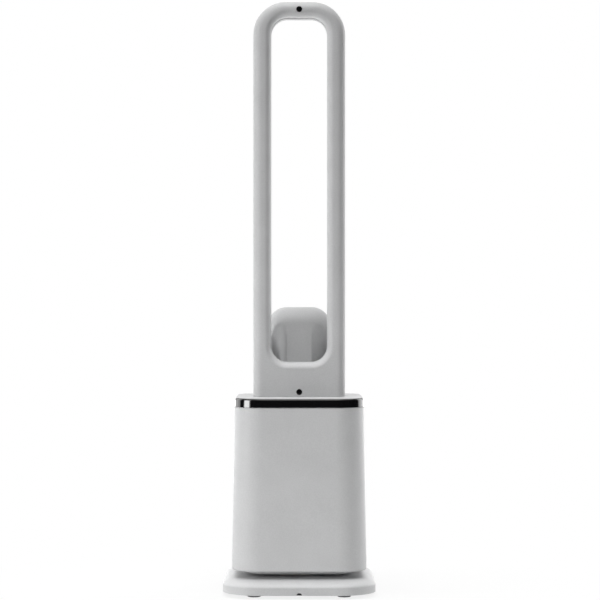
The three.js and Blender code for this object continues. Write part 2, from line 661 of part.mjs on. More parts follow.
function bottomChassis() {
  const neck = solid(prism(squareRing(NECK_WIDTH, NECK_CORNER), NECK_BOTTOM, PLATE_TOP));
  const inset = BODY_WALL + FIT_GAP;
  const plate = solid(loft([bodyStation(inset, BODY_BOTTOM + FIT_GAP), bodyStation(inset, PLATE_TOP)]));
  const wellRing = squareRing(NECK_WIDTH - 2 * NECK_FLOOR, NECK_CORNER - NECK_FLOOR);
  const well = solid(prism(wellRing, WELL_FLOOR, PLATE_TOP + PAST));
  const bore = solid(post(boreRadius(HUB_RADIUS + FIT_GAP), 0, WELL_FLOOR + PAST, 0, 0, ROUND_SIDES));
  const pillars = PILLAR_PLACES.map(([x, y]) => solid(post(
    PILLAR_RADIUS, WELL_FLOOR - PAST, WELL_FLOOR + PILLAR_HEIGHT, x, y,
  )));
  const motorPosts = [-1, 1].map((side) => solid(post(
    MOTOR_POST_RADIUS, WELL_FLOOR - PAST, SWING_MOTOR_BOTTOM - FIT_GAP,
    side * MOTOR_EAR_OFFSET, -GEAR_CENTRES,
  )));
  const boardPosts = [-1, 1].map((side) => solid(post(
    BOARD_POST_RADIUS, WELL_FLOOR - PAST, BOARD_Z - FIT_GAP,
    (side * POWER_BOARD_WIDTH) / 3, BOARD_Y, SCREW_SIDES,
  )));
  return join(cut(join(neck, plate), well, bore), ...pillars, ...motorPosts, ...boardPosts);
}

const COVER_BOTTOM = BODY_BOTTOM + COVER_LIFT;
const COVER_TOP = COVER_BOTTOM + COVER_HEIGHT;

// The rear window's outline, drawn in by `inset`.
function coverRing(inset) {
  return cornerRing(
    -COVER_WIDTH / 2 + inset, COVER_WIDTH / 2 - inset, COVER_BOTTOM + inset, COVER_TOP - inset,
    COVER_CORNER - inset, COVER_CORNER - inset, COVER_STEPS,
  );
}

// The wall of the body between two insets, over a range of heights.
function bodyWall(outerInset, innerInset, bottom, top) {
  const outer = solid(loft([bodyStation(outerInset, bottom), bodyStation(outerInset, top)]));
  const inner = solid(loft([bodyStation(innerInset, bottom - PAST), bodyStation(innerInset, top + PAST)]));
  return cut(outer, inner);
}

function bodyShell() {
  const bottomEdge = quarterRound(BODY_EDGE_DROP, BODY_EDGE_ROUND, EDGE_STEPS - 1)
    .map(([run, drop]) => bodyStation(drop, BODY_BOTTOM + run));
  const outer = solid(loft([...bottomEdge, bodyStation(0, SHELL_TOP)]));
  const inner = solid(loft([
    bodyStation(BODY_WALL, BODY_BOTTOM - PAST), bodyStation(BODY_WALL, SHELL_TOP + PAST),
  ]));
  const rearWindow = solid(prismAlongDepth(coverRing(0), BODY_TOP_WIDTH / 4, BODY_BOTTOM_WIDTH));
  return cut(outer, inner, rearWindow);
}

function rearCover() {
  const skin = bodyWall(0, BODY_WALL, COVER_BOTTOM - PAST, COVER_TOP + PAST);
  const panel = skin.intersect(solid(
    prismAlongDepth(coverRing(COVER_CLEARANCE), BODY_TOP_WIDTH / 4, BODY_BOTTOM_WIDTH),
  ));
  const usable = COVER_WIDTH - 2 * COVER_RAIL - (SLOT_COLUMNS - 1) * SLOT_RIB;
  const slotLength = usable / SLOT_COLUMNS;
  const pitchX = slotLength + SLOT_RIB;
  const pitchZ = (COVER_HEIGHT - 2 * COVER_RAIL) / SLOT_ROWS;
  const half = SLOT_HEIGHT / 2;
  const slots = [];
  for (let row = 0; row < SLOT_ROWS; row += 1) {
    for (let column = 0; column < SLOT_COLUMNS; column += 1) {
      const x = (column - (SLOT_COLUMNS - 1) / 2) * pitchX;
      const z = COVER_BOTTOM + COVER_RAIL + (row + 0.5) * pitchZ;
      const ring = cornerRing(x - slotLength / 2, x + slotLength / 2, z - half, z + half, half, half, 1);
      slots.push(solid(prismAlongDepth(ring, BODY_TOP_WIDTH / 4, BODY_BOTTOM_WIDTH)));
    }
  }
  return cut(panel, ...slots);
}

const NARROW_END = Math.min(bodyWidthAt(COVER_BOTTOM), bodyWidthAt(COVER_TOP)) / 2;
const FILTER_BACK = NARROW_END - BODY_WALL - FIT_GAP;
const FILTER_FRONT = FILTER_BACK - FILTER_DEPTH;
const FILTER_HALF_WIDTH = NARROW_END - BODY_CORNER;
const FILTER_BOTTOM = COVER_BOTTOM + COVER_CLEARANCE + FILTER_MARGIN;
const FILTER_TOP = COVER_TOP - COVER_CLEARANCE - FILTER_MARGIN;

function filterRing(inset) {
  return cornerRing(
    -FILTER_HALF_WIDTH + inset, FILTER_HALF_WIDTH - inset, FILTER_BOTTOM + inset, FILTER_TOP - inset, 0, 0,
  );
}

function filterFrame() {
  const outer = solid(prismAlongDepth(filterRing(0), FILTER_FRONT, FILTER_BACK));
  const window = filterRing(FILTER_FRAME_WALL);
  const inner = solid(prismAlongDepth(window, FILTER_FRONT - PAST, FILTER_BACK + PAST));
  return cut(outer, inner);
}

// Pleated paper: one zigzag sheet folded between the frame's front and back, its folds upright.
function filterPleats() {
  const inset = FILTER_FRAME_WALL + FIT_GAP;
  const left = -FILTER_HALF_WIDTH + inset;
  const pitch = (2 * (FILTER_HALF_WIDTH - inset)) / PLEATS;
  const front = FILTER_FRONT + PLEAT_SETBACK;
  const back = FILTER_BACK - PLEAT_SETBACK;
  const fold = PLEAT_THICKNESS * 2;
  const near = [];
  const far = [];
  for (let i = 0; i <= 2 * PLEATS; i += 1) {
    const x = left + (i * pitch) / 2;
    const peak = i % 2 === 1;
    near.push(new THREE.Vector2(x, peak ? back - fold : front));
    far.push(new THREE.Vector2(x, peak ? back : front + fold));
  }
  return prism([...near, ...far.reverse()], FILTER_BOTTOM + inset, FILTER_TOP - inset);
}

// ---------------------------------------------------------------- top cap and display
const BAND_BOTTOM = CAP_BOTTOM + BAND_MARGIN;
const BAND_TOP = CAP_TOP - BAND_MARGIN;

// The region ahead of the band's two ends.
function bandRegion(grow) {
  const side = BODY_TOP_WIDTH;
  const back = BAND_REACH - BODY_TOP_WIDTH / 2 + grow;
  return solid(box(-side, side, -side, back, CAP_BOTTOM - CAP_HEIGHT, CAP_TOP + CAP_HEIGHT));
}

function displayBand() {
  const edge = GLASS_CHAMFER;
  const outer = solid(loft([
    bodyStation(edge, BAND_BOTTOM + FINE_GAP), bodyStation(0, BAND_BOTTOM + FINE_GAP + edge),
    bodyStation(0, BAND_TOP - FINE_GAP - edge), bodyStation(edge, BAND_TOP - FINE_GAP),
  ]));
  const inner = solid(loft([
    bodyStation(BAND_THICKNESS, BAND_BOTTOM - PAST), bodyStation(BAND_THICKNESS, BAND_TOP + PAST),
  ]));
  return cut(outer, inner).intersect(bandRegion(0));
}

const COLLAR_HALF_WIDTH = LOOP_WIDTH / 2 - LOOP_WALL - GASKET_WIDTH - DUCT_WALL;
const COLLAR_HALF_DEPTH = LOOP_DEPTH / 2 - LOOP_WALL - GASKET_WIDTH - DUCT_WALL;

// The duct's mouth in plan, grown or drawn in, centred under the loop.
function collarRing(grow) {
  const halfX = COLLAR_HALF_WIDTH + grow;
  const halfY = COLLAR_HALF_DEPTH + grow;
  const radius = COLLAR_HALF_DEPTH / 2 + grow;
  return cornerRing(-halfX, halfX, LOOP_Y - halfY, LOOP_Y + halfY, radius, radius);
}

const LUG_Y = HUMP_FRONT + HUMP_WALL + SCREW_HEAD_RADIUS + LUG_RIM;
const HUMP_BOSS_Y = HUMP_FRONT + HUMP_DEPTH * 0.6;
const LOOP_SCREW_PLACES = [[-LUG_SPACING / 2, LUG_Y], [LUG_SPACING / 2, LUG_Y]];
const HUMP_SCREW_PLACES = [[-HUMP_BOSS_SPACING / 2, HUMP_BOSS_Y], [HUMP_BOSS_SPACING / 2, HUMP_BOSS_Y]];
const CAP_SCREW_PLACES = [...LOOP_SCREW_PLACES, ...HUMP_SCREW_PLACES];
const CAP_PLATE_BOTTOM = CAP_TOP - CAP_WALL;

function topCap() {
  const topEdge = quarterRound(CAP_EDGE_ROUND, CAP_EDGE_ROUND, EDGE_STEPS - 1).reverse()
    .map(([run, drop]) => bodyStation(drop, CAP_TOP - run));
  const outer = solid(loft([bodyStation(0, CAP_BOTTOM), ...topEdge]));
  const inset = BODY_WALL + FIT_GAP;
  const spigotBottom = CAP_BOTTOM - CAP_SPIGOT;
  const spigot = solid(loft([bodyStation(inset, spigotBottom), bodyStation(inset, CAP_BOTTOM + PAST)]));
  const hollow = solid(loft([
    bodyStation(inset + SPIGOT_WALL, spigotBottom - PAST),
    bodyStation(inset + SPIGOT_WALL, CAP_PLATE_BOTTOM),
  ]));
  const recess = bodyWall(-PAST, BAND_THICKNESS + FINE_GAP, BAND_BOTTOM, BAND_TOP)
    .intersect(bandRegion(FINE_GAP));
  const mouth = solid(prism(collarRing(DUCT_WALL + FIT_GAP), spigotBottom, CAP_TOP + PAST));
  const screwHoles = screwHolesAt(CAP_SCREW_PLACES, spigotBottom, CAP_TOP + PAST);
  return cut(join(outer, spigot), hollow, recess, mouth, ...screwHoles);
}

// ---------------------------------------------------------------- fan module
const HOUSING_BOTTOM = WELL_FLOOR + PILLAR_HEIGHT + FIT_GAP + ISOLATOR_HEIGHT + FIT_GAP;
const SHROUD_TOP = HOUSING_BOTTOM + SHROUD_HEIGHT;
const DIFFUSER_BOTTOM = SHROUD_TOP + FIT_GAP;
const DIFFUSER_TOP = DIFFUSER_BOTTOM + DIFFUSER_HEIGHT;
const IMPELLER_BOTTOM = HOUSING_BOTTOM + IMPELLER_LIFT;
const IMPELLER_TOP = SHROUD_TOP - IMPELLER_TOP_GAP;
const FLANGE_RADIUS = SHROUD_EXIT_RADIUS + DUCT_WALL + FLANGE_REACH;
const BUCKET_RADIUS = HUB_CONE_RADIUS;
const BUCKET_WALL = DUCT_WALL;

// The shroud's inner radius at a share t of its height, bell mouth first.
function shroudRadius(t) {
  const mouth = 0.25;
  if (t < mouth) {
    const turn = Math.acos(1 - t / mouth);
    return INLET_LIP_RADIUS - (INLET_LIP_RADIUS - INLET_THROAT_RADIUS) * Math.sin(turn);
  }
  const rise = (t - mouth) / (1 - mouth);
  return INLET_THROAT_RADIUS
    + (SHROUD_EXIT_RADIUS - INLET_THROAT_RADIUS) * Math.sin((Math.PI / 2) * rise) ** 1.4;
}

const SHROUD_SHARES = [0, 0.08, 0.25, 0.5, 0.75, 1];
// A facet's middle lies nearer the axis than its ends.
const INRADIUS_SHARE = Math.cos(Math.PI / ROUND_SIDES);

// The least radius of a faceted, turned wall at a share t of its height.
function facetedRadius(radiusAt, shares, t) {
  const next = shares.findIndex((share, i) => i > 0 && share >= t);
  const [low, high] = [shares[next - 1], shares[next]];
  const between = THREE.MathUtils.lerp(radiusAt(low), radiusAt(high), (t - low) / (high - low));
  return between * INRADIUS_SHARE;
}

function fanHousing() {
  const inside = SHROUD_SHARES.map((t) => [shroudRadius(t), HOUSING_BOTTOM + SHROUD_HEIGHT * t]);
  const outside = [...inside].reverse().map(([radius, z]) => [radius + DUCT_WALL, z]);
  const shroud = solid(turned([...inside, ...outside]));
  const flange = solid(tube(SHROUD_EXIT_RADIUS, FLANGE_RADIUS, SHROUD_TOP - FLANGE_THICKNESS, SHROUD_TOP));
  const reach = Math.hypot(PILLAR_SPACING, PILLAR_SPACING) / 2;
  const armTop = HOUSING_BOTTOM + FLANGE_THICKNESS;
  const armForm = (turn) => box(
    INLET_THROAT_RADIUS, reach, -PILLAR_RADIUS, PILLAR_RADIUS, HOUSING_BOTTOM, armTop,
  ).rotateZ(turn);
  const arms = PILLAR_PLACES.map(([x, y]) => join(
    solid(armForm(Math.atan2(y, x))),
    solid(post(PILLAR_RADIUS * 1.4, HOUSING_BOTTOM, armTop, x, y)),
  ));
  const room = solid(turned([[0, HOUSING_BOTTOM - PAST], ...inside, [0, SHROUD_TOP + PAST]]));
  return cut(join(shroud, flange, ...arms), room);
}

const HUB_NOSE_RADIUS = SHAFT_RADIUS * 2.4;

// The hub cone's outer radius at a share t of the impeller's height.
function coneRadius(t) {
  return HUB_NOSE_RADIUS + (HUB_CONE_RADIUS - HUB_NOSE_RADIUS) * Math.sin((Math.PI / 2) * t) ** 1.3;
}

// One solid strip through sections of four corners each, such as a blade or a vane. Its two wide
// faces are split along the same diagonal, so that it keeps its thickness where it twists.
function strip(sections) {
  const points = sections.flat().flatMap((corner) => corner.toArray());
  const faces = [0, 1, 2, 0, 2, 3];
  for (let s = 0; s + 1 < sections.length; s += 1) {
    for (let i = 0; i < 4; i += 1) {
      const low = s * 4 + i;
      const lowNext = s * 4 + ((i + 1) % 4);
      if (i === 2) faces.push(low, low + 4, lowNext, lowNext, low + 4, lowNext + 4);
      else faces.push(low, lowNext + 4, lowNext, low, low + 4, lowNext + 4);
    }
  }
  const last = (sections.length - 1) * 4;
  faces.push(last, last + 2, last + 1, last, last + 3, last + 2);
  const geometry = new THREE.BufferGeometry();
  geometry.setAttribute('position', new THREE.Float32BufferAttribute(points, 3));
  geometry.setIndex(faces);
  return geometry;
}

function polar(radius, angle, z) {
  return new THREE.Vector3(radius * Math.cos(angle), radius * Math.sin(angle), z);
}

// Four corners of a blade's section: root and tip on its two faces.
function bladeSection(root, tip, angle, thickness, z) {
  const half = thickness / 2;
  return [
    polar(root, angle - half / root, z), polar(tip, angle - half / tip, z),
    polar(tip, angle + half / tip, z), polar(root, angle + half / root, z),
  ];
}

function impeller() {
  const height = IMPELLER_TOP - IMPELLER_BOTTOM;
  const skin = IMPELLER_SHARES.map((t) => [coneRadius(t), IMPELLER_BOTTOM + height * t]);
  const wall = IMPELLER_WALL;
  const bore = SHAFT_RADIUS + SHAFT_FIT;
  const sleeveTop = IMPELLER_TOP - 2 * wall;
  const hollow = [
    [HUB_CONE_RADIUS - wall, IMPELLER_TOP], [coneRadius(0.64) - wall, IMPELLER_BOTTOM + height * 0.68],
    [HUB_NOSE_RADIUS, IMPELLER_BOTTOM + height * 0.5], [HUB_NOSE_RADIUS, sleeveTop],
    [bore, sleeveTop], [bore, IMPELLER_BOTTOM],
  ];
  const hub = solid(turned([...skin, ...hollow]));
  const sweep = radians(BLADE_SWEEP);
  const sections = Array.from({ length: BLADE_STEPS + 1 }, (unused, i) => {
    const t = THREE.MathUtils.lerp(BLADE_START_SHARE, BLADE_END_SHARE, i / BLADE_STEPS);
    const z = IMPELLER_BOTTOM + height * t;
    const shroudShare = (z - HOUSING_BOTTOM) / SHROUD_HEIGHT;
    const root = facetedRadius(coneRadius, IMPELLER_SHARES, t) - BLADE_EMBED;
    const tip = facetedRadius(shroudRadius, SHROUD_SHARES, shroudShare) - BLADE_CLEARANCE;
    return bladeSection(root, tip, sweep * t ** 1.2, BLADE_THICKNESS, z);
  });
  const blades = Array.from({ length: BLADE_COUNT }, (unused, i) => (
    solid(strip(sections).rotateZ((2 * Math.PI * i) / BLADE_COUNT))
  ));
  return join(hub, ...blades);
}

const BEARING_SEAT = DIFFUSER_BOTTOM + BUCKET_FLOOR;
const STATOR_BOTTOM = BEARING_SEAT + BEARING_WIDTH + STATOR_LIFT;
const ROTOR_TOP = STATOR_BOTTOM + STATOR_HEIGHT + ROTOR_HEADROOM;
const SHAFT_TOP = ROTOR_TOP + SHAFT_PROUD;

function diffuser() {
  const wallRadius = SHROUD_EXIT_RADIUS + DUCT_WALL;
  const flangeTop = DIFFUSER_BOTTOM + FLANGE_THICKNESS;
  const outer = solid(tube(SHROUD_EXIT_RADIUS, wallRadius, DIFFUSER_BOTTOM, DIFFUSER_TOP));
  const flange = solid(tube(SHROUD_EXIT_RADIUS, FLANGE_RADIUS, DIFFUSER_BOTTOM, flangeTop));
  const sleeve = BEARING_RADIUS + FIT_GAP;
  const bore = SHAFT_RADIUS + BUCKET_BORE_CLEARANCE;
  const bucket = solid(turned([
    [bore, DIFFUSER_BOTTOM], [BUCKET_RADIUS, DIFFUSER_BOTTOM], [BUCKET_RADIUS, DIFFUSER_TOP],
    [BUCKET_RADIUS - BUCKET_WALL, DIFFUSER_TOP], [BUCKET_RADIUS - BUCKET_WALL, BEARING_SEAT],
    [sleeve + BUCKET_WALL, BEARING_SEAT], [sleeve + BUCKET_WALL, STATOR_BOTTOM - FIT_GAP],
    [sleeve, STATOR_BOTTOM - FIT_GAP], [sleeve, BEARING_SEAT], [bore, BEARING_SEAT],
  ]));
  const sweep = radians(VANE_SWEEP);
  const sections = Array.from({ length: VANE_STEPS + 1 }, (unused, i) => {
    const t = i / VANE_STEPS;
    const z = DIFFUSER_BOTTOM + VANE_SETBACK + (DIFFUSER_HEIGHT - 2 * VANE_SETBACK) * t;
    return bladeSection(
      BUCKET_RADIUS - BUCKET_WALL / 2, SHROUD_EXIT_RADIUS + DUCT_WALL * 0.6,
      -sweep * (1 - t) ** 1.5, VANE_THICKNESS, z,
    );
  });
  const vanes = Array.from({ length: VANE_COUNT }, (unused, i) => (
    solid(strip(sections).rotateZ((2 * Math.PI * i) / VANE_COUNT))
  ));
  return join(outer, flange, bucket, ...vanes);
}

// The stator's laminated core: teeth with wide tips round a bore.
function statorGeometry() {
  const neck = STATOR_RADIUS * 0.55;
  const shoulder = STATOR_RADIUS * 0.86;
  const tip = STATOR_RADIUS * 0.9;
  const wide = (Math.PI / STATOR_TEETH) * 0.88;
  const stem = (Math.PI / STATOR_TEETH) * 0.5;
  const outline = [];
  for (let tooth = 0; tooth < STATOR_TEETH; tooth += 1) {
    const centre = (2 * Math.PI * tooth) / STATOR_TEETH;
    [
      [neck, -stem], [shoulder, -stem * 0.6], [tip, -wide], [STATOR_RADIUS, -wide],
      [STATOR_RADIUS, wide], [tip, wide], [shoulder, stem * 0.6], [neck, stem],
    ].forEach(([radius, turn]) => {
      const angle = centre + turn;
      outline.push(new THREE.Vector2(radius * Math.cos(angle), radius * Math.sin(angle)));
    });
  }
  const shape = new THREE.Shape(outline);
  const bore = new THREE.Path();
  bore.absarc(0, 0, BEARING_RADIUS + FIT_GAP, 0, 2 * Math.PI, true);
  shape.holes.push(bore);
  return new THREE.ExtrudeGeometry(shape, {
    depth: STATOR_HEIGHT, bevelEnabled: false, curveSegments: SMALL_SIDES / 2,
  });
}

function rotorBell() {
  const skirtBottom = STATOR_BOTTOM + PAST;
  const bore = SHAFT_RADIUS + SHAFT_FIT;
  const hub = SHAFT_RADIUS + ROTOR_HUB_REACH;
  const ceiling = ROTOR_TOP - ROTOR_WALL;
  const hubBottom = ceiling - ROTOR_HUB_REACH / 2;
  const inside = ROTOR_RADIUS - ROTOR_WALL;
  return turned([
    [bore, hubBottom], [hub, hubBottom], [hub, ceiling], [inside, ceiling],
    [inside, skirtBottom], [ROTOR_RADIUS, skirtBottom], [ROTOR_RADIUS, ROTOR_TOP - ROTOR_CHAMFER],
    [ROTOR_RADIUS - ROTOR_CHAMFER, ROTOR_TOP], [bore, ROTOR_TOP],
  ]);
}

// A domed tail that closes the motor's bucket and lets the air close up behind it.
function motorCap() {
  const bottom = DIFFUSER_TOP + FIT_GAP;
  const dome = (radius, height) => Array.from({ length: DOME_STEPS + 1 }, (unused, i) => {
    const angle = (Math.PI / 2) * (i / DOME_STEPS);
    return [radius * Math.cos(angle), bottom + height * Math.sin(angle)];
  });
  const lip = BUCKET_RADIUS - BUCKET_WALL - FIT_GAP;
  const inside = lip - MOTOR_CAP_WALL;
  const lipBottom = bottom - MOTOR_CAP_LIP;
  const outer = dome(BUCKET_RADIUS, MOTOR_CAP_HEIGHT);
  const inner = dome(inside, MOTOR_CAP_HEIGHT - MOTOR_CAP_WALL).reverse();
  return turned([[lip, lipBottom], [lip, bottom], ...outer, ...inner, [inside, lipBottom]]);
}

const DUCT_BOTTOM = DIFFUSER_TOP + FIT_GAP;
const COLLAR_TOP = LOOP_BOTTOM + DUCT_TOP_HEIGHT;

// The duct that carries the air from the round diffuser into the loop's long, narrow foot.
function throatDuct() {
  const bottomRing = (grow) => {
    const size = 2 * (SHROUD_EXIT_RADIUS + grow);
    return squareRing(size, size / 2 - 0.01);
  };
  const straight = CAP_BOTTOM - 2 * CAP_SPIGOT;
  const blend = (grow, t) => {
    const from = bottomRing(grow);
    const to = collarRing(grow);
    return from.map((point, i) => point.clone().lerp(to[i], THREE.MathUtils.smoothstep(t, 0, 1)));
  };
  const stations = (grow, low, high) => [
    { ring: blend(grow, 0), at: low },
    ...DUCT_SHARES.map((t) => ({
      ring: blend(grow, t), at: DUCT_BOTTOM + (straight - DUCT_BOTTOM) * t,
    })),
    { ring: collarRing(grow), at: straight },
    { ring: collarRing(grow), at: high },
  ];
  const outer = solid(loft(stations(DUCT_WALL, DUCT_BOTTOM, COLLAR_TOP)));
  const inner = solid(loft(stations(0, DUCT_BOTTOM - PAST, COLLAR_TOP + PAST)));
  const flangeTop = DUCT_BOTTOM + FLANGE_THICKNESS;
  const flange = solid(tube(SHROUD_EXIT_RADIUS - PAST, FLANGE_RADIUS, DUCT_BOTTOM, flangeTop));
  return cut(join(outer, flange), inner);
}

function footGasket() {
  const inset = LOOP_WALL + FIT_GAP;
  const radius = OUTER_ROUND - inset;
  const outer = cornerRing(
    -LOOP_WIDTH / 2 + inset, LOOP_WIDTH / 2 - inset, FRONT_Y + inset, REAR_Y - inset,
    radius, radius, HIDDEN_STEPS,
  );
  const mouth = collarRing(DUCT_WALL + FIT_GAP);
  return cut(
    solid(prism(outer, LOOP_BOTTOM, LOOP_BOTTOM + GASKET_HEIGHT)),
    solid(prism(mouth, LOOP_BOTTOM - PAST, LOOP_BOTTOM + GASKET_HEIGHT + PAST)),
  );
}

// ---------------------------------------------------------------- loop
// The loop's outer outline, drawn in by `inset` at its sides and top; the foot stands on `bottom`.
function loopRing(inset, bottom) {
  const half = LOOP_WIDTH / 2 - inset;
  return cornerRing(-half, half, bottom, LOOP_TOP - inset, 0, LOOP_CORNER - inset, LOOP_STEPS);
}

// The opening's outline, grown by `outset`.
function openingRing(outset) {
  const half = LOOP_WIDTH / 2 - LIMB_WIDTH + outset;
  const radius = OPENING_CORNER + outset;
  return cornerRing(-half, half, OPENING_FLOOR - outset, OPENING_TOP + outset, radius, radius, LOOP_STEPS);
}

// Outer surface of the loop moved inwards by `wall`: pairs of depth and inset, front to rear.
function outerProfile(wall, steps = EDGE_STEPS) {
  const front = quarterRound(OUTER_ROUND - wall, OUTER_ROUND - wall, steps)
    .map(([run, drop]) => ({ at: FRONT_Y + wall + run, inset: wall + drop }));
  const rear = quarterRound(REAR_ROUND - wall, REAR_ROUND - wall, steps).reverse()
    .map(([run, drop]) => ({ at: REAR_Y - wall - run, inset: wall + drop }));
  return [...front, ...rear];
}

const LIP_STEP = LOOP_WALL + AIR_SLOT;
const FRONT_SEAM = SEAM_Y - FIT_GAP / 2;
const REAR_SEAM = SEAM_Y + FIT_GAP / 2;
const INNER_WALL_END = SEAM_Y + SLOT_OVERLAP;

// Surface of the front shell round the opening: a wide flare, then a gentle step back to the slot.
function frontOpeningProfile(wall, steps = EDGE_STEPS) {
  const flare = quarterRound(FLARE_WIDTH - wall, FLARE_DEPTH - wall, steps)
    .map(([run, drop]) => ({ at: FRONT_Y + wall + run, outset: wall + drop }));
  const stepStart = SEAM_Y - COANDA_RUN;
  const step = STEP_SHARES.map((t) => ({
    at: stepStart + COANDA_RUN * t, outset: wall + LIP_STEP * THREE.MathUtils.smoothstep(t, 0, 1),
  }));
  return [...flare, ...step, { at: INNER_WALL_END, outset: wall + LIP_STEP }];
}

// Surface of the rear shell round the opening: a straight lip that rolls out to the rear face.
function rearOpeningProfile(wall, steps = EDGE_STEPS) {
  const roll = quarterRound(REAR_ROUND - wall, REAR_ROUND - wall, steps).reverse()
    .map(([run, drop]) => ({ at: REAR_Y - wall - run, outset: wall + drop }));
  return [{ at: REAR_SEAM, outset: wall }, ...roll];
}

// Prolongs a profile a little past its first or last point, so that a cut runs clear of the face.
function runPast(profile, past) {
  const first = profile[0];
  const last = profile.at(-1);
  return [{ ...first, at: first.at - past }, ...profile, { ...last, at: last.at + past }];
}

function outerLoft(profile, bottom) {
  const stations = profile.map(({ at, inset }) => ({ ring: loopRing(inset, bottom), at }));
  return solid(loftAlongDepth(stations));
}

function openingLoft(profile) {
  const stations = profile.map(({ at, outset }) => ({ ring: openingRing(outset), at }));
  return solid(loftAlongDepth(stations));
}

function slab(front, back) {
  const reach = LOOP_WIDTH;
  return solid(box(-reach, reach, front, back, LOOP_BOTTOM - reach, LOOP_TOP + reach));
}

// The solid of the loop without its opening, and the duct inside it.
const LOOP_BLANK = outerLoft(outerProfile(0), LOOP_BOTTOM);
const LOOP_CAVITY = outerLoft(outerProfile(LOOP_WALL, HIDDEN_STEPS), LOOP_BOTTOM - LOOP_WALL);

function windowCutter(z, radius, depth) {
  return solid(new THREE.CylinderGeometry(radius, radius, depth * 2, SMALL_SIDES)
    .translate(0, FRONT_Y, z));
}

const TOP_WINDOW_Z = LOOP_TOP - TOP_WINDOW_DROP;
const FOOT_WINDOW_Z = LOOP_BOTTOM + FOOT_WINDOW_RISE;

function loopFrontShell() {
  const hidden = runPast(frontOpeningProfile(LOOP_WALL, HIDDEN_STEPS), LOOP_DEPTH);
  const cavity = LOOP_CAVITY.subtract(openingLoft(hidden));
  const half = slab(FRONT_Y - PAST, FRONT_SEAM);
  const casing = cut(LOOP_BLANK, cavity, openingLoft(runPast(frontOpeningProfile(0), LOOP_DEPTH)))
    .intersect(half);
  const innerWall = openingLoft(frontOpeningProfile(LOOP_WALL))
    .subtract(openingLoft(runPast(frontOpeningProfile(0), PAST)))
    .intersect(slab(FRONT_SEAM - FIT_GAP, INNER_WALL_END + PAST));
  const windowRadius = WINDOW_RADIUS + FINE_GAP;
  const windows = [TOP_WINDOW_Z, FOOT_WINDOW_Z].map((z) => (
    windowCutter(z, windowRadius, WINDOW_DEPTH * 2)
  ));
  return cut(join(casing, innerWall), ...windows);
}

// The slot is open along the two straight limbs; the rear shell closes it at the floor and the top.
function slotBlanks() {
  const outset = LIP_STEP - FIT_GAP;
  const band = [{ at: REAR_SEAM, outset }, { at: INNER_WALL_END - SLOT_STOP, outset }];
  const core = band.map(({ at }) => ({ at, outset: outset - AIR_SLOT }));
  const ring = openingLoft(band).subtract(openingLoft(runPast(core, PAST)));
  const open = solid(box(
    -LOOP_WIDTH, LOOP_WIDTH, FRONT_Y, REAR_Y,
    OPENING_FLOOR + SLOT_END_MARGIN, OPENING_TOP - SLOT_END_MARGIN,
  ));
  return ring.subtract(open);
}

function loopRearShell() {
  const hidden = runPast(rearOpeningProfile(LOOP_WALL, HIDDEN_STEPS), LOOP_DEPTH);
  const cavity = LOOP_CAVITY.subtract(openingLoft(hidden));
  const casing = cut(LOOP_BLANK, cavity, openingLoft(runPast(rearOpeningProfile(0), LOOP_DEPTH)))
    .intersect(slab(REAR_SEAM, REAR_Y + PAST));
  const tab = solid(box(
    -LUG_WIDTH / 2, LUG_WIDTH / 2, REAR_Y - LOOP_WALL, LUG_Y + SCREW_HEAD_RADIUS + LUG_RIM,
    LOOP_BOTTOM, LOOP_BOTTOM + LUG_THICKNESS,
  ));
  const screwHoles = screwHolesAt(LOOP_SCREW_PLACES, CAP_TOP, LOOP_BOTTOM + LUG_THICKNESS + PAST);
  return join(casing, slotBlanks(), cut(tab, ...screwHoles));
}

function windowLens() {
  return turned([
    [0, 0], [WINDOW_RADIUS - GLASS_CHAMFER, 0], [WINDOW_RADIUS, GLASS_CHAMFER],
    [WINDOW_RADIUS, WINDOW_DEPTH], [0, WINDOW_DEPTH],
  ], SMALL_SIDES);
}

// ---------------------------------------------------------------- rear hump
function humpRing(inset, bottom) {
  const half = HUMP_WIDTH / 2 - inset;
  return cornerRing(-half, half, bottom, HUMP_BOTTOM + HUMP_HEIGHT - inset, 0, HUMP_CORNER - inset);
}

function humpLoft(wall, bottom, steps = EDGE_STEPS) {
  const front = quarterRound(HUMP_ROUND - wall, HUMP_ROUND - wall, steps)
    .map(([run, drop]) => ({ ring: humpRing(wall + drop, bottom), at: HUMP_FRONT + wall + run }));
  const back = HUMP_FRONT + HUMP_DEPTH - wall;
  const rear = quarterRound(HUMP_REAR_ROUND - wall, HUMP_REAR_ROUND - wall, steps).reverse()
    .map(([run, drop]) => ({ ring: humpRing(wall + drop, bottom), at: back - run }));
  return solid(loftAlongDepth([...front, ...rear]));
}

// The scoop beside the middle strip: it starts at nothing and falls back deeper towards the foot.
function scoop(side, wall) {
  const inner = HUMP_STRIP_WIDTH / 2 - wall;
  const outer = HUMP_WIDTH / 2 + PAST;
  const ahead = HUMP_FRONT - SCOOP_INNER_DEPTH;
  const shift = wall * 1.1;
  const stations = SCOOP_SHARES.map((t) => {
    const fall = 1 - t * t;
    const near = SCOOP_INNER_DEPTH * fall + shift;
    const far = SCOOP_OUTER_DEPTH * fall + HUMP_ROUND * 0.5 * (1 - t) + shift;
    const bend = near + (far - near) * SCOOP_BEND;
    const ring = [
      new THREE.Vector2(inner, ahead), new THREE.Vector2(outer, ahead),
      new THREE.Vector2(outer, HUMP_FRONT + far),
      new THREE.Vector2((inner + outer) / 2, HUMP_FRONT + bend),
      new THREE.Vector2(inner, HUMP_FRONT + near),
    ];
    return { ring, at: HUMP_BOTTOM - PAST + (SCOOP_HEIGHT + PAST) * t };
  });
  const form = loft(stations);
  return solid(side < 0 ? form.scale(-1, 1, 1) : form);
}

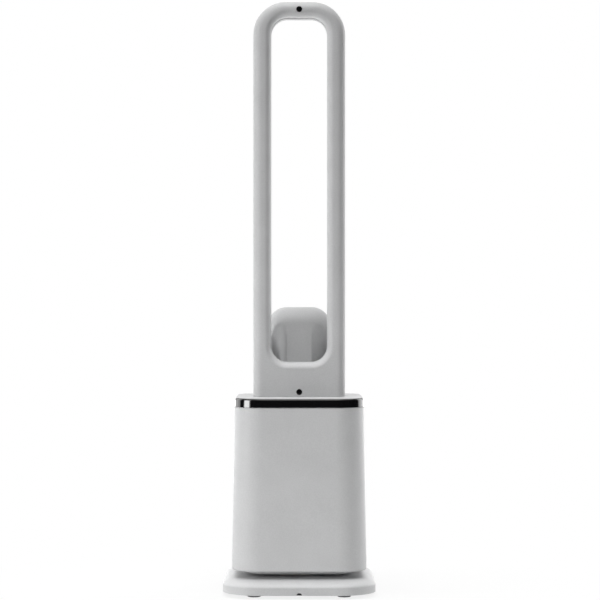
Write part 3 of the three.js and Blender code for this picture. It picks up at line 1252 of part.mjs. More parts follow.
function rearHump() {
  const skin = cut(humpLoft(0, HUMP_BOTTOM), scoop(-1, 0), scoop(1, 0));
  const hollow = cut(
    humpLoft(HUMP_WALL, HUMP_BOTTOM - PAST, HIDDEN_STEPS), scoop(-1, HUMP_WALL), scoop(1, HUMP_WALL),
  );
  const half = HUMP_BOSS_WIDTH / 2;
  const bosses = HUMP_SCREW_PLACES.map(([x, y]) => solid(box(
    x - half, x + half, y - half, HUMP_FRONT + HUMP_DEPTH - HUMP_WALL / 2,
    HUMP_BOTTOM, HUMP_BOTTOM + HUMP_BOSS_HEIGHT,
  )));
  const screwHoles = screwHolesAt(HUMP_SCREW_PLACES, HUMP_BOTTOM - PAST, HUMP_BOTTOM + SCREW_LENGTH);
  const tabNotch = solid(box(
    -LUG_WIDTH / 2 - FIT_GAP, LUG_WIDTH / 2 + FIT_GAP, HUMP_FRONT - PAST, HUMP_FRONT + 2 * HUMP_WALL,
    HUMP_BOTTOM - PAST, LOOP_BOTTOM + LUG_THICKNESS + FIT_GAP,
  ));
  return cut(join(cut(skin, hollow, tabNotch), ...bosses), ...screwHoles);
}

// ---------------------------------------------------------------- boards
function powerBoard() {
  const halfX = POWER_BOARD_WIDTH / 2;
  const halfY = POWER_BOARD_LENGTH / 2;
  const seat = BOARD_THICKNESS / 2;
  const plate = solid(box(-halfX, halfX, -halfY, halfY, 0, BOARD_THICKNESS));
  const transformer = solid(box(
    -halfX * 0.8, -halfX * 0.33, -halfY * 0.45, halfY * 0.45, seat, TRANSFORMER_HEIGHT,
  ));
  const connector = solid(box(
    halfX * 0.67, halfX * 0.9, -halfY * 0.6, halfY * 0.6, seat, CONNECTOR_HEIGHT,
  ));
  const capacitors = [0, halfX / 3].map((x) => (
    solid(post(CAPACITOR_RADIUS, seat, CAPACITOR_HEIGHT, x, halfY * 0.2))
  ));
  return join(plate, transformer, connector, ...capacitors);
}

function displayBoard() {
  const half = DISPLAY_BOARD_WIDTH / 2;
  const plate = solid(box(-half, half, 0, BOARD_THICKNESS, 0, DISPLAY_BOARD_HEIGHT));
  const socket = solid(box(
    half * 0.64, half * 0.87, BOARD_THICKNESS / 2, CONNECTOR_HEIGHT * 0.6,
    DISPLAY_BOARD_HEIGHT * 0.15, DISPLAY_BOARD_HEIGHT * 0.6,
  ));
  return join(plate, socket);
}

function powerInlet() {
  const half = INLET_WIDTH / 2;
  const depth = INLET_DEPTH;
  const rod = (diameter, length, sides) => (
    new THREE.CylinderGeometry(diameter / 2, diameter / 2, length, sides)
  );
  const block = solid(box(-half, half, -depth, 0, 0, INLET_HEIGHT));
  const bore = solid(rod(INLET_BORE, depth, SMALL_SIDES)
    .translate(0, INLET_FLOOR - depth / 2, INLET_HEIGHT / 2));
  const pin = solid(rod(INLET_PIN, depth - INLET_FLOOR, SCREW_SIDES)
    .translate(0, -depth / 2, INLET_HEIGHT / 2));
  return join(cut(block, bore), pin);
}

// ---------------------------------------------------------------- assembly: stand
addPiece(group, 'stand_cover', standCover(), 'shell');
addPiece(group, 'stand_base', standBase(), 'dark');
addPiece(group, 'ballast_plate', ballastPlate(), 'steel');
const footForm = footGeometry();
CORNER_NAMES.forEach((corner, i) => {
  const foot = addPiece(group, `foot_${corner}`, footForm, 'rubber');
  foot.position.set(...FOOT_PLACES[i], 0);
  const screw = addPiece(group, `base_screw_${corner}`, screwGeometry(), 'steel');
  screw.position.set(...BOSS_PLACES[i], FOOT_HEIGHT - FIT_GAP);
});
addPiece(group, 'pivot_hub', pivotHub(), 'acetal');
HUB_SCREW_PLACES.forEach((place, i) => {
  const length = HUB_FLANGE_THICKNESS + BASE_PLATE_THICKNESS;
  const screw = addPiece(group, `hub_screw_${i + 1}`, screwGeometry(length), 'steel');
  screw.rotation.x = Math.PI;
  screw.position.set(...place, HUB_BOTTOM + HUB_FLANGE_THICKNESS + FIT_GAP);
});
const sunForm = gearGeometry(SUN_TEETH, SUN_BORE_RADIUS + FINE_GAP);
const sunGear = addPiece(group, 'fixed_swing_gear', sunForm, 'acetal');
sunGear.position.z = SUN_BOTTOM;
addPiece(group, 'hub_clip', tube(
  SUN_BORE_RADIUS - CLIP_GROOVE + FINE_GAP, SUN_BORE_RADIUS + CLIP_REACH,
  CLIP_BOTTOM + FINE_GAP, CLIP_BOTTOM + CLIP_THICKNESS - FINE_GAP,
), 'steel');
addPiece(group, 'bearing_ring', tube(
  BEARING_RING_RADIUS - BEARING_RING_WIDTH / 2, BEARING_RING_RADIUS + BEARING_RING_WIDTH / 2,
  STAND_TOP + FIT_GAP, NECK_BOTTOM - FIT_GAP,
), 'acetal');
const inlet = addPiece(group, 'power_inlet', powerInlet(), 'dark');
inlet.position.set(0, STAND_WIDTH / 2 - FIT_GAP, INLET_BOTTOM);

// ---------------------------------------------------------------- assembly: tower
addPiece(tower, 'bottom_chassis', bottomChassis(), 'shell');
addPiece(tower, 'thrust_washer', tube(
  boreRadius(HUB_RADIUS + FIT_GAP), SUN_PITCH + CLIP_REACH,
  WASHER_BOTTOM, WASHER_BOTTOM + WASHER_THICKNESS,
), 'acetal');
const pinion = addPiece(tower, 'swing_pinion', swingPinion(), 'acetal');
pinion.position.set(0, -GEAR_CENTRES, SUN_BOTTOM);
const motor = addPiece(tower, 'swing_motor', swingMotor(), 'steel');
motor.position.set(0, -GEAR_CENTRES, SWING_MOTOR_BOTTOM);
addPiece(tower, 'body_shell', bodyShell(), 'shell');
addPiece(tower, 'top_cap', topCap(), 'shell');
addPiece(tower, 'display_band', displayBand(), 'gloss');
const board = addPiece(tower, 'power_board', powerBoard(), 'board');
board.position.set(0, BOARD_Y, BOARD_Z);
const display = addPiece(tower, 'display_board', displayBoard(), 'board');
display.position.set(
  0, -bodyWidthAt(CAP_BOTTOM) / 2 + BODY_WALL + CAP_WALL + 2 * FIT_GAP,
  CAP_PLATE_BOTTOM - DISPLAY_BOARD_HEIGHT - FIT_GAP,
);
addPiece(tower, 'loop_front_shell', loopFrontShell(), 'shell');
addPiece(tower, 'loop_rear_shell', loopRearShell(), 'shell');
addPiece(tower, 'foot_gasket', footGasket(), 'rubber');
addPiece(tower, 'rear_hump', rearHump(), 'shell');
[['top_sensor_window', TOP_WINDOW_Z], ['receiver_window', FOOT_WINDOW_Z]].forEach(([name, z]) => {
  const lens = addPiece(tower, name, windowLens(), 'gloss');
  lens.rotation.x = -Math.PI / 2;
  lens.position.set(0, FRONT_Y, z);
});
const CAP_SCREW_NAMES = ['loop_screw_left', 'loop_screw_right', 'hump_screw_left', 'hump_screw_right'];
CAP_SCREW_PLACES.forEach(([x, y], i) => {
  const screw = addPiece(tower, CAP_SCREW_NAMES[i], screwGeometry(), 'steel');
  const fromAbove = i < 2;
  screw.rotation.x = fromAbove ? Math.PI : 0;
  screw.position.set(x, y, fromAbove ? LOOP_BOTTOM + LUG_THICKNESS + FIT_GAP : CAP_PLATE_BOTTOM - FIT_GAP);
});

// ---------------------------------------------------------------- assembly: fan module
addPiece(fanModule, 'fan_housing', fanHousing(), 'inner');
addPiece(fanModule, 'diffuser', diffuser(), 'inner');
addPiece(fanModule, 'throat_duct', throatDuct(), 'inner');
addPiece(fanModule, 'motor_cap', motorCap(), 'inner');
const stator = addPiece(fanModule, 'motor_stator', statorGeometry(), 'copper');
stator.position.z = STATOR_BOTTOM;
const bearingBottom = BEARING_SEAT + FIT_GAP;
addPiece(fanModule, 'motor_bearing', tube(
  boreRadius(SHAFT_RADIUS + SHAFT_FIT, SMALL_SIDES), BEARING_RADIUS,
  bearingBottom, bearingBottom + BEARING_WIDTH, SMALL_SIDES,
), 'steel');
PILLAR_PLACES.forEach(([x, y], i) => {
  const isolator = addPiece(fanModule, `isolator_${CORNER_NAMES[i]}`, turned([
    [0, 0], [PILLAR_RADIUS * 1.2, 0], [PILLAR_RADIUS * 0.8, ISOLATOR_HEIGHT / 2],
    [PILLAR_RADIUS * 1.2, ISOLATOR_HEIGHT], [0, ISOLATOR_HEIGHT],
  ], SMALL_SIDES), 'rubber');
  isolator.position.set(x, y, WELL_FLOOR + PILLAR_HEIGHT + FIT_GAP);
});
addPiece(fanModule, 'impeller', impeller(), 'dark');
const shaftForm = post(SHAFT_RADIUS, IMPELLER_BOTTOM - SHAFT_RADIUS, SHAFT_TOP);
addPiece(fanModule, 'motor_shaft', shaftForm, 'steel');
addPiece(fanModule, 'motor_rotor', rotorBell(), 'steel');

// ---------------------------------------------------------------- assembly: rear cover
addPiece(rearDoor, 'rear_cover', rearCover(), 'shell');
addPiece(rearDoor, 'filter_frame', filterFrame(), 'inner');
addPiece(rearDoor, 'filter_pleats', filterPleats(), 'paper');

export default group;
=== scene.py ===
import json
import math

import bmesh
import bpy
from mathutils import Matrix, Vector


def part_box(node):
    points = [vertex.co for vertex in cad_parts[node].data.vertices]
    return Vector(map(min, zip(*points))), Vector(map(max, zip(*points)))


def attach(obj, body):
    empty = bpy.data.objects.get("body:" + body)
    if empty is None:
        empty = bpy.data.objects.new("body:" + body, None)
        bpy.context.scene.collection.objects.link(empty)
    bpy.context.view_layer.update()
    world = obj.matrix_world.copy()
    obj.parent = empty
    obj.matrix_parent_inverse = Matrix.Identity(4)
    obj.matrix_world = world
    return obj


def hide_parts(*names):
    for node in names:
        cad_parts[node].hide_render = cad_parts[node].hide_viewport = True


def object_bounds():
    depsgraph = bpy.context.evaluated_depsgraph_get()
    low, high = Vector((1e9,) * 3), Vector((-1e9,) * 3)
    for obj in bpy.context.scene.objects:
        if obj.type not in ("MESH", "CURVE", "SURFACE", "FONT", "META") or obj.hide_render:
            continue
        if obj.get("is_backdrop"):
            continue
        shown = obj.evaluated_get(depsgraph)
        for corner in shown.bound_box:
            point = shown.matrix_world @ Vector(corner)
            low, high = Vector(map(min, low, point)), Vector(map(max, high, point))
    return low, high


# %% [markdown]
# # A tall bladeless fan
# The real object is a hollow loop of grey moulded plastic on a square body with round corners. The
# body turns on a low domed stand, a black glass band runs round its top, and a hump stands behind
# the loop. A maker's CAD model gives every size, joint and hidden part. This lesson dresses it:
# smoother shells over the same outlines, and a finish for every piece.

# %% Load the frame
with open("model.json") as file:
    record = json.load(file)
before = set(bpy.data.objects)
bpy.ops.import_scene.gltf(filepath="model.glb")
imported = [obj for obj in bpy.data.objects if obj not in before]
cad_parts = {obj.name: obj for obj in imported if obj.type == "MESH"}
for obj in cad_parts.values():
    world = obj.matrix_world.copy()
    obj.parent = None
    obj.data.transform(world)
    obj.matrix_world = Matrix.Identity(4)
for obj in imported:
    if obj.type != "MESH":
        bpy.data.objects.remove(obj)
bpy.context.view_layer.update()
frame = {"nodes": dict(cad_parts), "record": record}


# %% [markdown]
# ## Millimetres
# Moulded housings are drawn in millimetres and Blender works in metres. One scale, used only where
# a mesh is made and where the frame is measured, keeps every other number as a maker would say it.

# %% One scale
MM = 0.001


def measured(node):
    """The lowest and highest corner of a CAD piece, in millimetres."""
    low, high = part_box(node)
    return low / MM, high / MM


loop_low, loop_high = measured("loop_front_shell")
print("the loop runs from", round(loop_low.z, 1), "to", round(loop_high.z, 1), "mm")

# %% [markdown]
# ## The camera
# The photograph looks straight at the front from about half the fan's height, and its long lens
# hardly widens what is near. The camera could be placed by eye, but here its height, distance and
# lens were worked out from the widths of the stand, body and loop, which lie at different depths.

# %% A level camera at half height
CAMERA_DISTANCE = 3.59
CAMERA_HEIGHT = 0.494
camera_data = bpy.data.cameras.new("Front camera")
camera_data.lens = 126
camera_data.sensor_width = 36
camera_data.shift_x = 0.0013
camera = bpy.data.objects.new("Front camera", camera_data)
camera.location = (0, -CAMERA_DISTANCE, CAMERA_HEIGHT)
camera.rotation_euler = (math.radians(90), 0, 0)
bpy.context.scene.collection.objects.link(camera)
bpy.context.scene.camera = camera
print("the camera stands", CAMERA_DISTANCE, "m in front of the swing axis")

# %% [markdown]
# ## Outlines with round corners
# Every housing here is a rectangle with round corners that changes size from one level to the
# next. A bevelled cube would round all its edges alike. An outline made of four arcs gives each
# corner its own radius, and as all outlines have the same number of points, faces can join them.

# %% Outlines
CORNER_STEPS = 14


def corner_outline(left, right, bottom, top, lower_radius, upper_radius, steps=CORNER_STEPS):
    """Points of a closed outline, from its lower right corner and anticlockwise."""
    points = []
    for turn, (side_x, side_y) in enumerate(((1, -1), (1, 1), (-1, 1), (-1, -1))):
        x = right if side_x > 0 else left
        y = top if side_y > 0 else bottom
        radius = max(lower_radius if side_y < 0 else upper_radius, 0)
        for i in range(steps + 1):
            angle = math.radians((turn - 1 + i / steps) * 90)
            points.append((
                x - side_x * radius + radius * math.cos(angle),
                y - side_y * radius + radius * math.sin(angle),
            ))
    return points


def square_outline(width, radius, steps=CORNER_STEPS):
    half = width / 2
    return corner_outline(-half, half, -half, half, radius, radius, steps)


def circle(radius, centre=(0, 0), steps=32):
    """Points of a circle, anticlockwise."""
    points = []
    for i in range(steps):
        angle = math.tau * i / steps
        points.append((centre[0] + radius * math.cos(angle), centre[1] + radius * math.sin(angle)))
    return points


def quarter_round(width, depth, steps):
    """A quarter ellipse as (run, drop) pairs: drop falls from width to nothing while run grows."""
    pairs = []
    for i in range(steps + 1):
        angle = math.radians(90) * i / steps
        pairs.append((depth * (1 - math.cos(angle)), width * (1 - math.sin(angle))))
    return pairs


def smooth_step(t):
    return t * t * (3 - 2 * t)


print("a corner outline has", len(square_outline(100, 20)), "points")


# %% [markdown]
# ## From outlines to a skin
# A skin joins each outline to the next with a band of four-sided faces. The bands could be drawn by
# hand or bridged in edit mode, but a loop over the outlines stays exact. A closed skin joins its
# last outline to its first, which is how a wall gets its thickness; an open one gets two end faces.

# %% Skins
def at_height(outline, z):
    """An outline in plan, at height z."""
    return [(x, y, z) for x, y in outline]


def at_depth(outline, y):
    """An outline seen from the front, at depth y."""
    return [(x, y, z) for x, z in outline]


def skin(rings, closed=False):
    """A bmesh through rings of equal point count, in millimetres."""
    mesh = bmesh.new()
    rows = [[mesh.verts.new(Vector(point) * MM) for point in ring] for ring in rings]
    pairs = list(zip(rows, rows[1:]))
    if closed:
        pairs.append((rows[-1], rows[0]))
    else:
        mesh.faces.new(rows[0][::-1])
        mesh.faces.new(rows[-1])
    for low, high in pairs:
        for i in range(len(low)):
            j = (i + 1) % len(low)
            mesh.faces.new((low[i], low[j], high[j], high[i]))
    bmesh.ops.remove_doubles(mesh, verts=mesh.verts, dist=1e-6)
    bmesh.ops.dissolve_degenerate(mesh, edges=mesh.edges, dist=1e-7)
    bmesh.ops.recalc_face_normals(mesh, faces=mesh.faces)
    return mesh


trial = skin([at_height(square_outline(100, 20), z) for z in (0, 10)])
print("a skin through two outlines has", len(trial.faces), "faces")
trial.free()


# %% [markdown]
# ## From a skin to a piece
# A piece is smooth across its curves and sharp at its edges. Splitting by angle alone leaves soft
# smears on the flat faces beside a round, so a Weighted Normal modifier lets the large flat faces
# decide. Holes are cut with closed skins as tools. Each piece names the finish it takes, the body
# it rides on and the CAD pieces it stands for.

# %% Pieces
SHARP_ANGLE = math.radians(32)


def shade(piece, angle=SHARP_ANGLE):
    """Smooth shading with edges kept where faces meet at more than the angle."""
    piece.data.shade_smooth()
    piece.data.set_sharp_from_angle(angle=angle)
    weighted = piece.modifiers.new("Flat faces stay flat", "WEIGHTED_NORMAL")
    weighted.keep_sharp = True
    return piece


def object_of(name, mesh):
    """Makes a bmesh into an object in the scene."""
    data = bpy.data.meshes.new(name)
    mesh.to_mesh(data)
    mesh.free()
    piece = bpy.data.objects.new(name, data)
    bpy.context.scene.collection.objects.link(piece)
    return piece


def combine(piece, operation, mesh):
    """Cuts, keeps or joins for good, with a closed bmesh as the tool."""
    tool = object_of("tool", mesh)
    boolean = piece.modifiers.new("Combine", "BOOLEAN")
    boolean.operation = operation
    boolean.solver = "EXACT"
    boolean.object = tool
    graph = bpy.context.evaluated_depsgraph_get()
    data = bpy.data.meshes.new_from_object(piece.evaluated_get(graph))
    piece.modifiers.clear()
    piece.data = data
    bpy.data.objects.remove(tool)
    return piece


def cut(piece, *meshes):
    """Takes closed bmeshes out of a piece."""
    for mesh in meshes:
        combine(piece, "DIFFERENCE", mesh)
    return piece


def mesh_of(piece):
    """Turns a helper piece back into a bmesh and removes it."""
    mesh = bmesh.new()
    mesh.from_mesh(piece.data)
    bpy.data.objects.remove(piece)
    return mesh


def fit(piece, material, slot, body, *nodes):
    """Gives a new piece its finish and its place in the frame."""
    piece.data.materials.clear()
    piece.data.materials.append(material)
    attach(piece, body)
    if nodes:
        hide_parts(*nodes)
    print(piece.name, "has", len(piece.data.polygons), "faces")
    return piece


print("faces that meet at more than", round(math.degrees(SHARP_ANGLE)), "degrees keep a sharp edge")


# %% [markdown]
# ## Finishes
# Each finish is a small node tree on the Principled shader. Image textures could give the grain,
# but noise in Object coordinates needs no unwrapping and keeps its true size on every piece, since
# all objects share one origin. A finish here is a base colour that drifts a little and carries a
# fine speckle, a roughness that drifts a little, and a bump at the size of the real grain.

# %% A finish from noise
DRIFT_CELLS = 22
DRIFT_SHARE = 0.4
SPECKLE_CELLS = 480
SPECKLE_SHARE = 0.6
SHEEN_CELLS = 160
GRAIN_STRENGTH = 0.35


def finish_nodes(name, rough, metal=0.0):
    """A new material with its Principled shader set, and its coordinates at hand."""
    material = bpy.data.materials.new(name)
    material.use_nodes = True
    nodes, links = material.node_tree.nodes, material.node_tree.links
    shader = nodes["Principled BSDF"]
    shader.inputs["Roughness"].default_value = rough
    shader.inputs["Metallic"].default_value = metal
    place = nodes.new("ShaderNodeTexCoord").outputs["Object"]
    return material, nodes, links, shader, place


def noise(nodes, links, place, scale, detail=3.0):
    """Soft noise whose scale is given in cells per metre."""
    texture = nodes.new("ShaderNodeTexNoise")
    texture.inputs["Scale"].default_value = scale
    texture.inputs["Detail"].default_value = detail
    links.new(place, texture.inputs["Vector"])
    return texture.outputs["Fac"]


def spread(nodes, links, value, low, high, start=0.3, end=0.7):
    """Maps start to low and end to high; most of a noise lies between 0.3 and 0.7."""
    mapping = nodes.new("ShaderNodeMapRange")
    for key, number in (("From Min", start), ("From Max", end), ("To Min", low), ("To Max", high)):
        mapping.inputs[key].default_value = number
    links.new(value, mapping.inputs["Value"])
    return mapping.outputs["Result"]


def tint(nodes, links, value, first, second):
    """Blends two colours by a value."""
    mix = nodes.new("ShaderNodeMix")
    mix.data_type = "RGBA"
    mix.inputs[6].default_value = (*first, 1)
    mix.inputs[7].default_value = (*second, 1)
    links.new(value, mix.inputs["Factor"])
    return mix.outputs[2]


def relief(nodes, links, shader, height, strength, depth):
    """A bump whose depth is given in metres."""
    bump = nodes.new("ShaderNodeBump")
    bump.inputs["Strength"].default_value = strength
    bump.inputs["Distance"].default_value = depth
    links.new(height, bump.inputs["Height"])
    links.new(bump.outputs["Normal"], shader.inputs["Normal"])


def grained(name, first, second, rough, grain, depth, metal=0.0, rough_drift=0.05):
    """A moulded or cast finish: two near colours, drifting roughness and a fine grain."""
    material, nodes, links, shader, place = finish_nodes(name, rough, metal)
    both = nodes.new("ShaderNodeMath")
    drift = noise(nodes, links, place, DRIFT_CELLS)
    links.new(spread(nodes, links, drift, 0, DRIFT_SHARE), both.inputs[0])
    speckle = noise(nodes, links, place, SPECKLE_CELLS, 1)
    links.new(spread(nodes, links, speckle, 0, SPECKLE_SHARE), both.inputs[1])
    links.new(tint(nodes, links, both.outputs[0], first, second), shader.inputs["Base Color"])
    sheen = noise(nodes, links, place, SHEEN_CELLS, 2)
    patch = spread(nodes, links, sheen, rough - rough_drift, rough + rough_drift)
    links.new(patch, shader.inputs["Roughness"])
    relief(nodes, links, shader, noise(nodes, links, place, grain, 2), GRAIN_STRENGTH, depth)
    return material


print("the colour drifts over", round(1000 / DRIFT_CELLS), "mm and speckles every",
      round(1000 / SPECKLE_CELLS, 1), "mm")


# %% [markdown]
# ## The finishes of this fan
# The photograph shows one light grey moulding with a fine matt grain, one glossy black glass, and
# little else. The hidden pieces take what such pieces are made of: acetal gears, plated steel,
# green boards, rubber feet, filter paper. The grey is held a little lighter than it looks, because
# the soft light of the room is what darkens it.

# %% Each slot's finish
shell_plastic = grained(
    "Light grey ABS", (0.545, 0.548, 0.552), (0.61, 0.613, 0.617), 0.48, 2600, 2e-5,
)
inner_plastic = grained(
    "Grey ABS inside", (0.27, 0.275, 0.28), (0.30, 0.305, 0.31), 0.55, 1800, 3e-5,
)
dark_plastic = grained(
    "Black nylon", (0.018, 0.018, 0.020), (0.030, 0.030, 0.032), 0.5, 1500, 4e-5,
)
rubber = grained("Grey rubber", (0.56, 0.56, 0.56), (0.60, 0.60, 0.595), 0.82, 1100, 6e-5)
steel = grained(
    "Zinc plated steel", (0.50, 0.51, 0.52), (0.60, 0.60, 0.60), 0.34, 900, 1e-5,
    metal=1.0, rough_drift=0.09,
)
acetal = grained("Natural acetal", (0.78, 0.77, 0.72), (0.83, 0.82, 0.78), 0.38, 1600, 1e-5)
board_green = grained(
    "Green circuit board", (0.012, 0.085, 0.04), (0.02, 0.12, 0.06), 0.42, 700, 3e-5,
)
paper = grained("Filter paper", (0.72, 0.71, 0.67), (0.84, 0.83, 0.80), 0.92, 900, 1.2e-4)
copper = grained(
    "Enamelled copper", (0.42, 0.16, 0.07), (0.58, 0.24, 0.11), 0.36, 1400, 8e-5, metal=0.9,
)
acetal_shader = acetal.node_tree.nodes["Principled BSDF"]
acetal_shader.inputs["Subsurface Weight"].default_value = 0.1
acetal_shader.inputs["Subsurface Scale"].default_value = 0.002
print("finishes:", len(bpy.data.materials))

# %% [markdown]
# ## Glossy black glass
# The band round the body's top and the two round windows are black glass. A perfect mirror looks
# like a hole in the model, so the glass gets the faint waviness of a pressed sheet, a roughness
# that is only just above zero, and slight handling marks that show in the roughness alone.

# %% Black glass
glass, glass_nodes, glass_links, glass_shader, glass_place = finish_nodes("Black glass", 0.06)
deep = noise(glass_nodes, glass_links, glass_place, 30)
glass_tint = tint(glass_nodes, glass_links, deep, (0.0035, 0.0035, 0.004), (0.006, 0.006, 0.0065))
glass_links.new(glass_tint, glass_shader.inputs["Base Color"])
SMOOTHEST, ROUGHEST = 0.04, 0.10
marks = noise(glass_nodes, glass_links, glass_place, 420, 5)
marked = spread(glass_nodes, glass_links, marks, SMOOTHEST, ROUGHEST, 0.45, 0.75)
glass_links.new(marked, glass_shader.inputs["Roughness"])
waves = noise(glass_nodes, glass_links, glass_place, 60)
relief(glass_nodes, glass_links, glass_shader, waves, 0.1, 1e-5)
print("glass roughness runs from", SMOOTHEST, "to", ROUGHEST)

SLOT_FINISH = {
    "shell": shell_plastic, "inner": inner_plastic, "dark": dark_plastic, "gloss": glass,
    "rubber": rubber, "steel": steel, "acetal": acetal, "board": board_green, "paper": paper,
    "copper": copper,
}

# %% [markdown]
# ## Hidden pieces keep their CAD shape
# Gears, boards, motor, impeller and screws are already right in the CAD model. They could be
# rebuilt, but nobody would see the difference, so each takes the finish that its record names.

# %% Finishes on the CAD pieces
node_slot = {entry["node"]: entry["material_slot"] for entry in frame["record"]["subparts"]}
for node, cad_piece in frame["nodes"].items():
    cad_piece.data.materials.clear()
    cad_piece.data.materials.append(SLOT_FINISH[node_slot[node]])
print("CAD pieces with a finish:", len(node_slot))

# %% [markdown]
# ## The stand
# The stand is one moulding: a short upright skirt, a round shoulder, and a crown that flattens out
# towards the neck, 2.5 mm higher than in the CAD model. A cube with bevels could not make that
# crown. The skin below stacks the same square outline at many heights, drawn in more and more, and
# a second skin 3 mm inside it is cut away.

# %% The stand's surface
stand_low, stand_high = measured("stand_cover")
STAND_WIDTH = stand_high.x - stand_low.x
STAND_CORNER = 62
NECK_WIDTH = 172
SHOULDER = 18
STAND_WALL = 3
CROWN_TOP = stand_high.z + 2.5
CROWN_STEPS = 32


def stand_level(inset, z):
    return at_height(square_outline(STAND_WIDTH - 2 * inset, STAND_CORNER - inset), z)


def stand_skin(wall, foot):
    """The stand's surface moved inwards by a wall."""
    crown_inset = (STAND_WIDTH - NECK_WIDTH) / 2
    levels = [(0, foot)]
    for i in range(CROWN_STEPS + 1):
        angle = math.radians(90) * i / CROWN_STEPS
        rise = math.sin(angle) ** 1.1
        z = SHOULDER + rise * (CROWN_TOP - SHOULDER)
        levels.append((crown_inset * (1 - math.cos(angle)), z))
    rings = [stand_level(inset + wall, z - wall) for inset, z in levels]
    return skin([stand_level(wall, foot)] + rings[1:])


print("the crown rises from", SHOULDER, "to", round(CROWN_TOP, 1), "mm")


# %% Rods and blocks to cut with
def round_rod(radius, low, high, place=(0, 0), steps=32):
    """An upright rod."""
    return skin([at_height(circle(radius, place, steps), z) for z in (low, high)])


def rod_along_depth(radius, front, back, z):
    """A rod that points from front to back."""
    return skin([at_depth(circle(radius, (0, z)), y) for y in (front, back)])


def block(left, right, front, back, bottom, top):
    """A plain box."""
    corners = [(left, front), (right, front), (right, back), (left, back)]
    return skin([at_height(corners, z) for z in (bottom, top)])


print("rods are round in", len(circle(1)), "steps")

# %% Domed stand cover
HUB_HOLE_RADIUS = 27
NOTCH_RADIUS = 4.6
INLET_HALF_WIDTH = 5.3
INLET_FOOT, INLET_HEAD = 8.5, 16.3
stand_cover = object_of("stand_cover_skin", stand_skin(0, stand_low.z))
cut(
    stand_cover,
    stand_skin(STAND_WALL, stand_low.z - 1),
    round_rod(HUB_HOLE_RADIUS, 0, 40),
    rod_along_depth(NOTCH_RADIUS, -STAND_WIDTH / 2 - 5, -STAND_WIDTH / 2 + 6, stand_low.z),
    block(
        -INLET_HALF_WIDTH, INLET_HALF_WIDTH, STAND_WIDTH / 2 - 6, STAND_WIDTH / 2 + 1,
        INLET_FOOT, INLET_HEAD,
    ),
)
fit(shade(stand_cover), shell_plastic, "shell", "stand", "stand_cover")

# %% [markdown]
# ## Rubber feet
# Four round pads of grey rubber lift the stand off the floor, and two of them show in the
# photograph as short pale blocks under the skirt. A plain cylinder would have a hard lower edge,
# and rubber pads never do, so each is a stack of circles with a rolled lower edge, and a plug on
# top that sits in the base plate's pocket.

# %% Four feet
FOOT_PROFILE = (
    (0, 9.9), (0.1, 10.4), (0.35, 10.8), (0.8, 11), (2.4, 11), (5.1, 11), (5.5, 10.8), (5.7, 10.3),
)
PLUG_RADIUS = 7.6
for place in ("front_left", "front_right", "rear_left", "rear_right"):
    node = "foot_" + place
    low, high = measured(node)
    middle = (low + high) / 2
    profile = FOOT_PROFILE + ((FOOT_PROFILE[-1][0], PLUG_RADIUS), (high.z, PLUG_RADIUS))
    rings = [at_height(circle(radius, middle), z) for z, radius in profile]
    fit(shade(object_of(node + "_pad", skin(rings))), rubber, "rubber", "stand", node)

# %% [markdown]
# ## The body's shell
# The body is a square tube with round corners that narrows by 10 mm on its way up, with a soft
# lower edge. Its skin goes up the outside, over the top edge and down the inside, so it has a real
# wall. The window for the rear cover is then cut through the back.

# %% Body shell
body_low, body_high = measured("body_shell")
cap_low, cap_high = measured("top_cap")
BODY_FOOT = body_low.z
BODY_WIDE = 226
BODY_NARROW = 216
BODY_CORNER = 48
BODY_WALL = 3
BAND_DROP = 3
SHELL_TOP = body_high.z - BAND_DROP
MID_HEIGHTS = (120, 200)


def body_width(z):
    return BODY_WIDE + (BODY_NARROW - BODY_WIDE) * (z - BODY_FOOT) / (cap_high.z - BODY_FOOT)


def body_skin(levels, closed=True):
    """A skin through levels given as (inset from the body's outside, height)."""
    rings = []
    for inset, z in levels:
        outline = square_outline(body_width(z) - 2 * inset, BODY_CORNER - inset)
        rings.append(at_height(outline, z))
    return skin(rings, closed)


cover_low, cover_high = measured("rear_cover")
COVER_GAP = 0.4
COVER_CORNER = 13.6


def through_back(outline, front=50, back=130):
    """A closed bmesh from inside the body to well behind it."""
    return skin([at_depth(outline, y) for y in (front, back)])


def cover_window(outset):
    """A closed bmesh through the body's back wall, larger than the rear cover by an outset."""
    outline = corner_outline(
        cover_low.x - outset, cover_high.x + outset, cover_low.z - outset, cover_high.z + outset,
        COVER_CORNER + outset, COVER_CORNER + outset, 8,
    )
    return through_back(outline)


levels = [(drop, BODY_FOOT + run) for run, drop in quarter_round(2, 4, 8)]
levels += [(0, z) for z in MID_HEIGHTS]
levels += [(0, SHELL_TOP - 0.4), (0.12, SHELL_TOP - 0.12), (0.4, SHELL_TOP)]
levels += [(BODY_WALL - 0.3, SHELL_TOP), (BODY_WALL, SHELL_TOP - 0.3), (BODY_WALL, BODY_FOOT)]
body_shell = object_of("body_shell_skin", body_skin(levels))
cut(body_shell, cover_window(COVER_GAP))
fit(shade(body_shell), shell_plastic, "shell", "tower", "body_shell")

# %% [markdown]
# ## The neck
# Under the body a shallow neck almost touches the stand, and the thin gap between them is where
# the fan turns. The CAD chassis has this neck with flat-sided corners, since it is mostly hidden.
# Only a smooth ring is laid round it here, with a soft lower edge, and the chassis itself stays.

# %% Neck ring
NECK_FOOT = measured("bottom_chassis")[0].z
NECK_TOP = BODY_FOOT + 0.2
NECK_CORNER = 30
RING_WALL = 1.6
RING_OUTSET = 0.1


def neck_level(inset, z):
    return at_height(square_outline(NECK_WIDTH - 2 * inset, NECK_CORNER - inset), z)


